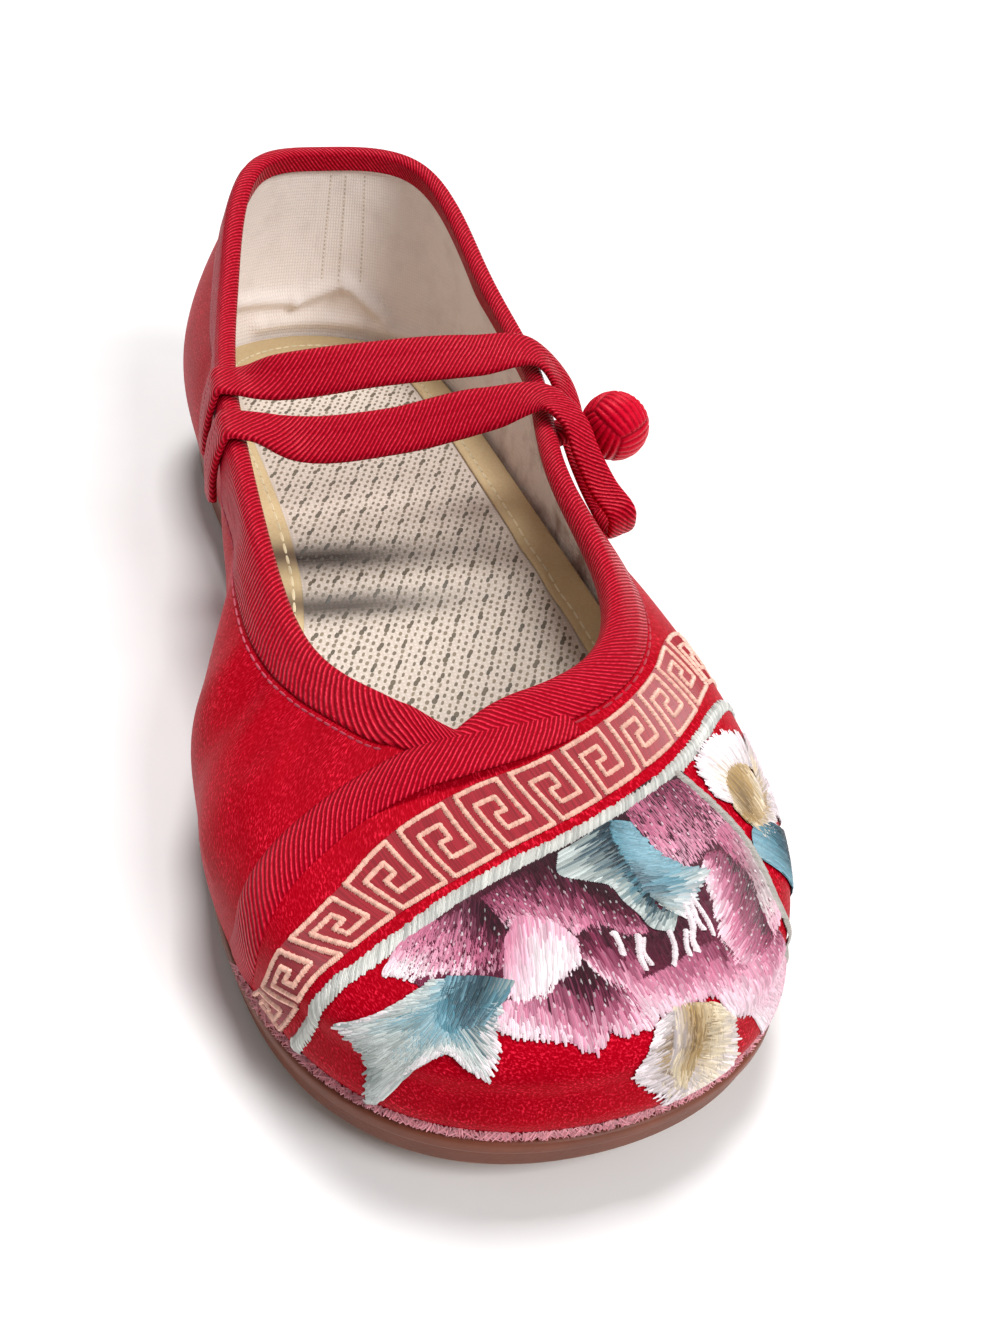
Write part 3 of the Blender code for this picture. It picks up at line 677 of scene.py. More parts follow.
# The mat's mark carries the painted strap shadow.
insole_marks = {"worn": worn(insole_points)}
insole_mesh = build_mesh("woven_insole", insole_points, insole_quads, marks=insole_marks, weld=True)
add_piece("woven_insole", insole_mesh, mat, ["insole"])

# Thickness of a thread at its ends, as a share of that in its middle
THREAD_TIP = 0.4


def thread_tubes(paths, up, width, rise):
    """Points and faces of many three-sided threads, narrower at their ends.

    paths and up are (threads, stations, 3): each station has a left foot, a crest and a right foot.
    """
    count, stations = paths.shape[:2]
    run = unit(np.gradient(paths, axis=1))
    side = unit(np.cross(up, run))
    bulge = np.sin(np.pi * np.linspace(0.1, 0.9, stations))[None, :, None]
    taper = THREAD_TIP + (1.0 - THREAD_TIP) * bulge
    half = 0.5 * np.asarray(width).reshape(-1, 1, 1) * taper
    points = np.stack([paths + half * side, paths + rise * taper * up, paths - half * side], axis=2)
    first = (np.arange(count) * stations * 3)[:, None]
    quads = (grid_quads(stations, 3, join_columns=True)[None] + first[..., None]).reshape(-1, 4)
    last = first + 3 * (stations - 1)
    ends = np.concatenate([first + (2, 1, 0), last + (0, 1, 2)])
    return points.reshape(-1, 3), quads, ends


def add_threads(name, groups, material):
    """Join groups of threads into one piece; each group is paths, up, width, rise and linear colours."""
    points = []
    quads = []
    ends = []
    colours = []
    offset = 0
    for paths, up, width, rise, colour in groups:
        group_points, group_quads, group_ends = thread_tubes(paths, up, width, rise)
        points.append(group_points)
        quads.append(group_quads + offset)
        ends.append(group_ends + offset)
        colours.append(np.repeat(colour, paths.shape[1] * 3, axis=0))
        offset += len(group_points)
    mesh = build_mesh(name, np.concatenate(points), np.concatenate(quads), [np.concatenate(ends)])
    mesh.shade_flat()
    dye = mesh.color_attributes.new("dye", "FLOAT_COLOR", "POINT")
    dye.data.foreach_set("color", np.concatenate(colours).ravel())
    return add_piece(name, mesh, material)


def dyed(rng, count, code, spread=0.10):
    """Linear colours of a number of threads, each a little lighter or darker than the hex colour."""
    colours = np.tile(linear(code), (count, 1))
    colours[:, :3] *= 1.0 + spread * rng.uniform(-1.0, 1.0, (count, 1))
    return colours


# Sewing thread, twisted: a soft gleam along each thread in the colour that it was dyed
sewing = new_material("dyed_sewing_thread", {"Roughness": 0.5, "Sheen Weight": 0.2, "IOR": 1.5})
sewing_dye = add_node(sewing, "ShaderNodeVertexColor", {"layer_name": "dye"})
wire(sewing, {"Base Color": sewing_dye.outputs["Color"]})

# The ranks of floats in the mat: two steps of the repeat, the float's own run, and its size, in mm
RANK_STEP = (4.7, 0.5)
RANK_RUN = (2.4, 5.5)
FLOAT_RUN = (0.65, 1.35)
FLOAT_THICK = 0.9
PICK_RUN = (0.5, 1.0)
PICK_THICK = 0.66
MAT_MARGIN = 0.8
MAT_JITTER = 0.08
MAT_UNEVEN = (0.75, 1.15)
MAT_SPREAD = 0.25
MAT_LIFT = 0.02
MAT_RISE = 0.05
# Share by which the painted strap shadow darkens the mat's threads
SHADOW_DARK = 0.8
RANKS = np.arange(-40, 40)
RUNS = np.arange(-30, 30)

# Floats and picks of one repeat, as shares of the two steps: a slanting chain of floats, and picks between
FLOATS = [(-0.03, -0.09), (0.03, 0.09)]
PICKS = [(0.00, 0.38), (0.01, 0.64), (0.32, 0.10), (0.34, 0.42), (0.32, 0.76), (0.66, 0.26), (0.68, 0.58),
         (0.66, 0.92)]
rng = np.random.default_rng(11)
repeat_steps = np.array([RANK_STEP, RANK_RUN])
repeats = np.stack(np.meshgrid(RANKS, RUNS, indexing="ij"), axis=-1).reshape(-1, 2) @ repeat_steps
mat_inset = INSOLE_INSET + INSOLE_TAPE_WIDTH + MAT_MARGIN
mat_edge = feather(insole_turns) - mat_inset * outward(insole_turns)


def inside(outline, places):
    """Which places lie in a closed outline: a ray to the side crosses it an odd number of times."""
    a = outline[None]
    b = np.roll(outline, -1, axis=0)[None]
    x = places[:, None, 0]
    y = places[:, None, 1]
    spans = (a[..., 1] > y) != (b[..., 1] > y)
    rise = np.where(b[..., 1] == a[..., 1], 1.0, b[..., 1] - a[..., 1])
    crossing = a[..., 0] + (y - a[..., 1]) / rise * (b[..., 0] - a[..., 0])
    return (spans & (x < crossing)).sum(axis=1) % 2 == 1


def mat_floats(centres, run, width, code):
    """Short threads on the mat, each along its run through its centre."""
    centres = centres[inside(mat_edge, centres)]
    centres = centres + rng.normal(0.0, MAT_JITTER, centres.shape)
    flat = centres[:, None] + np.linspace(-0.5, 0.5, 4)[None, :, None] * np.array(run)
    height = insole_height(flat) + MAT_LIFT
    up = np.broadcast_to((0.0, 0.0, 1.0), (*flat.shape[:2], 3))
    paths = np.concatenate([flat, height[..., None]], axis=-1)
    widths = width * rng.uniform(*MAT_UNEVEN, len(centres))
    colours = dyed(rng, len(centres), code, MAT_SPREAD)
    # Painted strap shadow darkens the threads across the bends
    colours[:, :3] *= 1.0 - SHADOW_DARK * worn(centres)[:, None]
    return paths, up, widths, MAT_RISE, colours


float_centres = (repeats[:, None] + np.array(FLOATS) @ repeat_steps).reshape(-1, 2)
pick_centres = (repeats[:, None] + np.array(PICKS) @ repeat_steps).reshape(-1, 2)
add_threads("mat_floats", [
    mat_floats(float_centres, FLOAT_RUN, FLOAT_THICK, "#5e523e"),
    mat_floats(pick_centres, PICK_RUN, PICK_THICK, "#82745e"),
], sewing)

# Insole tape
# Tan cotton tape folded over the insole's rim and sewn down with one line of pale stitches before the
# insole is dropped in. It bends with the insole and carries the same painted strap shadows.
TAPE_STATIONS = 480
TAPE_STITCH = 3.2
TAPE_SEAM = 6.2
TAPE_ROUND = 3.0
TAPE_THREAD = 0.6
TAPE_THREAD_RISE = 0.25
TAPE_THREAD_SUNK = 0.02

# Cotton tape, plain woven: dull tan with a fine thread grain, darkened by painted strap shadows where the
# insole bends
tan = new_material("tan_cotton_tape", {"Roughness": 0.8, "Sheen Weight": 0.1})
TAN_THREAD = 0.6
TAN_CLOUD = 14.0
tan_place = add_node(tan, "ShaderNodeTexCoord").outputs["Object"]
tan_threads = add_node(tan, "ShaderNodeTexNoise", inputs={
    "Vector": tan_place, "Scale": 1.0 / (TAN_THREAD * MM), "Detail": 2.0})
tan_cloud = add_node(tan, "ShaderNodeTexNoise", inputs={
    "Vector": tan_place, "Scale": 1.0 / (TAN_CLOUD * MM), "Detail": 3.0})
tan_ground = add_node(tan, "ShaderNodeMix", {"data_type": "RGBA"}, {
    FACTOR: tan_cloud.outputs["Fac"], FIRST: linear("#bd9c66"), SECOND: linear("#d8bd8a")})
tan_colour = add_node(tan, "ShaderNodeMix", {"data_type": "RGBA"}, {
    FACTOR: tan_threads.outputs["Fac"], FIRST: tan_ground.outputs[MIXED], SECOND: linear("#dcc89f")})
tan_bump = add_node(tan, "ShaderNodeBump", inputs={
    "Height": tan_threads.outputs["Fac"], "Strength": 0.5, "Distance": 0.2 * MM})
tan_strap_shadow = add_node(tan, "ShaderNodeAttribute", {"attribute_name": "worn"}).outputs["Fac"]
tan_shade = add_node(tan, "ShaderNodeMix", {"data_type": "RGBA"}, {
    FACTOR: tan_strap_shadow, FIRST: tan_colour.outputs[MIXED], SECOND: linear("#5c4630")})
wire(tan, {"Base Color": tan_shade.outputs[MIXED], "Normal": tan_bump.outputs[0]})

tape_turns = np.arange(TAPE_STATIONS) / TAPE_STATIONS


def rim_point(turns, inward_mm, below):
    """Place on the tape over the insole's rim: in from its outer edge, and below its top."""
    ring = feather_ring(turns, -INSOLE_INSET - inward_mm, INSOLE_TOP - below)
    ring[..., 2] -= at_bends(ring[..., 1], "depth") * ease(inward_mm / TAPE_ROUND)
    return ring


# The tape's section round the rim: mm in from its outer edge and mm below its top, sunk along the seam
under_rim = INSOLE_TOP - WALL - GAP
tape_profile = [
    (0.0, under_rim), (0.0, 0.9), (0.15, 0.4), (0.5, 0.1), (1.2, 0.0), (3.0, -0.05), (5.5, -0.05),
    (TAPE_SEAM, 0.08), (7.0, 0.0), (7.7, 0.1), (INSOLE_TAPE_WIDTH, 0.35), (INSOLE_TAPE_WIDTH, INSOLE_TAPE),
    (4.0, INSOLE_TAPE), (INSOLE_TAPE, INSOLE_TAPE), (INSOLE_TAPE, under_rim)]
tape_points = np.stack([rim_point(tape_turns, *place) for place in tape_profile], axis=1)
tape_quads = grid_quads(TAPE_STATIONS, len(tape_profile), join_rows=True, join_columns=True)
# The tape's mark carries the same painted strap shadow.
tape_mesh = build_mesh("insole_edge_tape", tape_points, tape_quads, marks={"worn": worn(tape_points)})
add_piece("insole_edge_tape", tape_mesh, tan, ["insole_tape"])

stitch_count = int(GIRTH / TAPE_STITCH)
stitch_turns = (np.arange(stitch_count)[:, None] + np.linspace(0.1, 0.9, 4)) / stitch_count
stitch_paths = rim_point(stitch_turns, TAPE_SEAM, TAPE_THREAD_SUNK)
stitch_up = np.broadcast_to((0.0, 0.0, 1.0), stitch_paths.shape)
stitch_wide = np.full(stitch_count, TAPE_THREAD)
stitch_colour = dyed(rng, stitch_count, "#e8d9b4")
add_threads("insole_tape_stitches", [
    (stitch_paths, stitch_up, stitch_wide, TAPE_THREAD_RISE, stitch_colour)], sewing)

# Collar binding
# Red twill tape folded over the collar edge and sewn down, a long leg outside and a short one inside.
# It is fullest just below the fold and thins out towards its outer edge.
TAPE = 0.7
BINDING_OUTSIDE = 7.0
BINDING_INSIDE = 3.5
BINDING_STEP = 0.8
BINDING_BACK = 0.25
BINDING_ROUND = 0.6
BINDING_FULL = 1.1

# How far the tape swells below the fold, thins out to its outer edge and is tucked down there, in mm
SWELL = 0.35
SWELL_DROP = 1.5
SWELL_WIDTH = 2.2
EDGE_THICK = 0.4
EDGE_RUN = 2.5
OUTER_TUCK = 0.15
INNER_TUCK = 0.2
CREASED_FROM = 4.0

# The collar's length as a share of the girth, and the number of the line that lies along the fold
COLLAR_SHARE = 0.86
FOLD_LINE = 18
TWILL_PITCH = 1.0
TWILL_SLANT = 0.9


def twill_place(along, across, slant=TWILL_SLANT):
    """Millimetres square to the diagonal ribs, and across the tape, for the twill's pattern."""
    return np.stack(np.broadcast_arrays(along + slant * across, across), axis=-1)


# Twill tape, red polyester: diagonal ribs with glossy crests, painted shade in the furrows, painted pink
# highlights on the crests and a grain of single yarns; the ribs are drawn about half as wide again as real
# ones
ribbed = new_material("red_twill_tape", {
    "IOR": 1.5, "Specular IOR Level": 0.42, "Specular Tint": linear("#ff4656")})
YARN_GRAIN = 0.45
ribbed_place = add_node(ribbed, "ShaderNodeUVMap", {"uv_map": "cloth"}).outputs["UV"]
ribbed_wave = add_node(ribbed, "ShaderNodeTexWave", {"bands_direction": "X"}, {
    "Vector": ribbed_place, "Scale": np.pi / (10.0 * TWILL_PITCH), "Distortion": 1.6, "Detail": 1.5})
ribbed_rib = ribbed_wave.outputs["Fac"]
ribbed_yarn = add_node(ribbed, "ShaderNodeTexNoise", inputs={
    "Vector": ribbed_place, "Scale": 1.0 / YARN_GRAIN, "Detail": 2.0, "Roughness": 0.6})
ribbed_light = add_node(ribbed, "ShaderNodeMath", {"operation": "MULTIPLY"}, {
    0: ribbed_rib, 1: ribbed_yarn.outputs["Fac"]})
ribbed_painted_highlight = add_node(ribbed, "ShaderNodeMapRange", inputs={
    "Value": ribbed_light.outputs[0], "From Min": 0.34, "From Max": 0.62})
# Painted shade darkens the furrows, and painted highlights lighten the crests where the yarn shows
ribbed_furrow_shade = add_node(ribbed, "ShaderNodeMix", {"data_type": "RGBA"}, {
    FACTOR: ribbed_rib, FIRST: linear("#840012"), SECOND: linear("#bc0020")})
ribbed_colour = add_node(ribbed, "ShaderNodeMix", {"data_type": "RGBA"}, {
    FACTOR: ribbed_painted_highlight.outputs[0], FIRST: ribbed_furrow_shade.outputs[MIXED], SECOND: linear("#f03450")})
ribbed_rough = add_node(ribbed, "ShaderNodeMapRange", inputs={
    "Value": ribbed_rib, "To Min": 0.62, "To Max": 0.30})
ribbed_height = add_node(ribbed, "ShaderNodeMath", {"operation": "MULTIPLY_ADD"}, {
    0: ribbed_yarn.outputs["Fac"], 1: 0.4, 2: ribbed_rib})
ribbed_bump = add_node(ribbed, "ShaderNodeBump", inputs={
    "Height": ribbed_height.outputs[0], "Strength": 0.8, "Distance": 0.2 * MM})
wire(ribbed, {"Base Color": ribbed_colour.outputs[MIXED], "Roughness": ribbed_rough.outputs[0],
              "Normal": ribbed_bump.outputs[0]})

binding_count = int(GIRTH * COLLAR_SHARE / BINDING_STEP)
binding_turns = np.arange(binding_count + 1) / binding_count
binding_edge = collar_edge(binding_turns)
binding_up = unit(wall_slopes(binding_turns, binding_edge)[1])
binding_lift = GAP + TAPE


def binding_leg(drop, lift):
    """Line along the collar, a drop below its edge, lifted off the wall and low down over the creases too."""
    heights = height_below_edge(binding_turns, drop)
    rise = creased(binding_turns, heights) * ease(drop / CREASED_FROM)
    return off_wall(binding_turns, heights, lift + rise)


def binding_fold(angle):
    """Line along the fold, on a half oval over the collar edge at this angle from the outside."""
    half = WALL / 2.0 + binding_lift
    lift = np.full(binding_turns.shape, -WALL / 2.0 + half * np.cos(angle))
    fold = off_wall(binding_turns, binding_edge, lift)
    return fold + BINDING_FULL * binding_lift * np.sin(angle) * binding_up


def walked(points, axis=0):
    """Distance walked from point to point along an axis of a grid."""
    steps = np.diff(points, axis=axis, prepend=np.take(points, [0], axis=axis))
    return np.cumsum(np.linalg.norm(steps, axis=-1), axis=axis)


binding_lines = [binding_leg(BINDING_OUTSIDE, -OUTER_TUCK)]
for drop in np.linspace(BINDING_OUTSIDE, BINDING_ROUND, 13):
    binding_swell = SWELL * np.exp(-((drop - SWELL_DROP) / SWELL_WIDTH)**2)
    binding_thin = (binding_lift - EDGE_THICK) * ease((drop - BINDING_OUTSIDE + EDGE_RUN) / EDGE_RUN)
    binding_lines.append(binding_leg(drop, binding_lift + binding_swell - binding_thin))
for angle in np.linspace(0.0, np.pi, 11):
    binding_lines.append(binding_fold(angle))
for drop in np.linspace(BINDING_ROUND, BINDING_INSIDE, 10):
    binding_lines.append(binding_leg(drop, -WALL - binding_lift))
binding_lines.append(binding_leg(BINDING_INSIDE, -WALL - INNER_TUCK))
binding_top = np.stack(binding_lines, axis=1)
binding_out = unit(np.cross(np.gradient(binding_top, axis=0), np.gradient(binding_top, axis=1)))
binding_out *= np.sign((binding_out[:, FOLD_LINE] * binding_up).sum(axis=1).mean())
binding_ring = with_back(binding_top, binding_top - BINDING_BACK * binding_out)
binding_along = walked(binding_top[:, FOLD_LINE])
binding_place = twill_place(binding_along[:, None], walked(binding_top, axis=1))
binding_quads = grid_quads(*binding_ring.shape[:2], join_columns=True)
binding_mesh = build_mesh(
    "collar_twill_binding", binding_ring, binding_quads, uv=with_back(binding_place, binding_place),
    weld=True)
add_piece("collar_twill_binding", binding_mesh, ribbed, ["collar_binding"])

# Vamp tape
# The same twill runs on from the outer collar past the throat and down the inner vamp to the sole,
# covering the edge where the embroidered panel laps over the plain one.
VAMP_TAPE_WIDTH = 7.2
LAP_STATIONS = 300
LAP_LINES = 19
LAP_CROWN = 0.7
LAP_SUNK = 0.25
LAP_RIBS = -1.2

# The tape's middle line on the upper, and its lift off the satin in mm
LapPoint = namedtuple("LapPoint", "name turn height lift")
VAMP_LAP = [
    LapPoint("in the outer binding", 0.541, 0.952, 0.1),
    LapPoint("beside the throat", 0.519, 0.948, 0.75),
    LapPoint("throat", 0.498, 0.939, 1.2),
    LapPoint("past the binding", 0.478, 0.915, 1.0),
    LapPoint("inner vamp", 0.461, 0.855, 0.2),
    LapPoint("over the ball", 0.449, 0.745, 0.06),
    LapPoint("inner side", 0.4365, 0.570, 0.06),
    LapPoint("low side", 0.424, 0.360, 0.06),
    LapPoint("sole edge", 0.409, 0.080, 0.06),
]


def cubic_span(start, start_slope, finish, finish_slope, t):
    """Cubic from start to finish with these slopes at its ends, at shares t of the span."""
    first_half = (1.0 + 2.0 * t) * (1.0 - t)**2 * start + t * (1.0 - t)**2 * start_slope
    return first_half + t * t * (3.0 - 2.0 * t) * finish + t * t * (t - 1.0) * finish_slope


def curve_through(rows, places):
    """Cubic through rows at even knots, read at places from 0 (first row) to 1 (last row)."""
    rows = np.asarray(rows, float)
    spans = len(rows) - 1
    slopes = np.gradient(rows, axis=0)
    at = np.clip(np.asarray(places, float), 0.0, 1.0) * spans
    i = np.minimum(at.astype(int), spans - 1)
    return cubic_span(rows[i], slopes[i], rows[i + 1], slopes[i + 1], (at - i)[..., None])


def ring_ends(ring):
    """Faces that close a tube at its first and its last ring of points."""
    count, sides = ring.shape[:2]
    return np.array([np.arange(sides)[::-1], np.arange(sides) + (count - 1) * sides])


def add_tape(name, ring, place, replaces):
    """Close a tape's ring of points at both ends and put it into the scene as red twill."""
    quads = grid_quads(*ring.shape[:2], join_columns=True)
    mesh = build_mesh(name, ring, quads, [ring_ends(ring)], uv=place)
    return add_piece(name, mesh, ribbed, [replaces])


lap_shares = np.linspace(0.0, 1.0, LAP_STATIONS)
lap_turns, lap_heights, lap_lifts = curve_through([row[1:] for row in VAMP_LAP], lap_shares).T
lap_middle = wall(lap_turns, lap_heights)
lap_run = unit(np.gradient(lap_middle, axis=0))
lap_side = unit(np.cross(wall_normal(lap_turns, lap_heights), lap_run))
lap_slopes = np.stack(wall_slopes(lap_turns, lap_heights), axis=2)
lap_aside = np.einsum("nij,nj->ni", np.linalg.pinv(lap_slopes), lap_side)
lap_across = np.linspace(-0.5, 0.5, LAP_LINES)[None, :] * VAMP_TAPE_WIDTH
lap_shift = lap_across[..., None] * lap_aside[:, None]
lap_at = (lap_turns[:, None] + lap_shift[..., 0], lap_heights[:, None] + lap_shift[..., 1])
lap_crown = LAP_CROWN * TAPE * (1.0 - np.abs(2.0 * lap_across / VAMP_TAPE_WIDTH)**3)
lap_face = on_satin(*lap_at, lap_lifts[:, None] + lap_crown)[0]
lap_back = on_satin(*lap_at, lap_lifts[:, None] - LAP_SUNK + 0.0 * lap_across)[0]
lap_place = twill_place(walked(lap_middle)[:, None], LAP_RIBS * lap_across)
add_tape("vamp_twill_tape", with_back(lap_face, lap_back, 1), with_back(lap_place, lap_place, 1), "vamp_tape")

# Embroidery
# Bright filament thread on the toe in long-and-short satin stitch: a key fret along the lapped edge, a
# silver cord beside it, and a peony with leaves and buds below. Worked by machine before lasting.
THREAD = 0.48
THREAD_RISE = 0.14
LONG_STITCH = 2.4
STATIONS_A_THREAD = 4
EDGE_POINTS = 40

# Patches are laid one over the next: mm of lift, then the wide stitches of the bed under each of them
PATCH_LIFT = 0.02
PATCH_STEP = 0.012
BED_THREAD = 2.0
BED_RISE = 0.08
OVER_BED = 0.06
BOW = 0.10

# Step from line to line as a share of the thread's width; a stitch's lead, length and least length as
# shares of a row; then how far loose stitches stray, in mm for the lift and otherwise as shares
LINE_STEP = 0.52
STITCH_LEAD = 0.2
STITCH_ROWS = 1.4
STITCH_LEAST = 0.3
LINE_STRAY = 0.3
END_STRAY = 0.40
START_STRAY = 0.04
LIFT_STRAY = 0.05
TONE_STRAY = 0.30
TONE_ASIDE = 0.04
TONE_SPREAD = 0.24

# Short stitches paled as painted highlights: one to an area in mm2, their half length and lift in mm, and the
# white mixed into them
GLINT_AREA = 2.2
GLINT_HALF = 0.25
GLINT_LIFT = 0.22
GLINT_STRAY = 0.03
GLINT_MARGIN = 0.06
GLINT_WHITE = (0.1, 0.5)
GOLDEN = 0.618
DYES = {
    "burgundy": "#2e0616", "wine": "#56122c", "plum": "#7c2a48", "mauve": "#9c4a68", "rose": "#bd6a88",
    "pink": "#d78fa9", "blush": "#e0aec0", "pale": "#e8c6d2", "white": "#eee0e4", "dove": "#c2b6b6",
    "silver": "#c6cdca", "sage": "#8f9a97", "sky": "#7aa5b3", "teal": "#578b9b", "slate": "#36525f",
    "ink": "#182830", "gold": "#a98a58", "bronze": "#755b3c", "cream": "#e0d0b4",
}

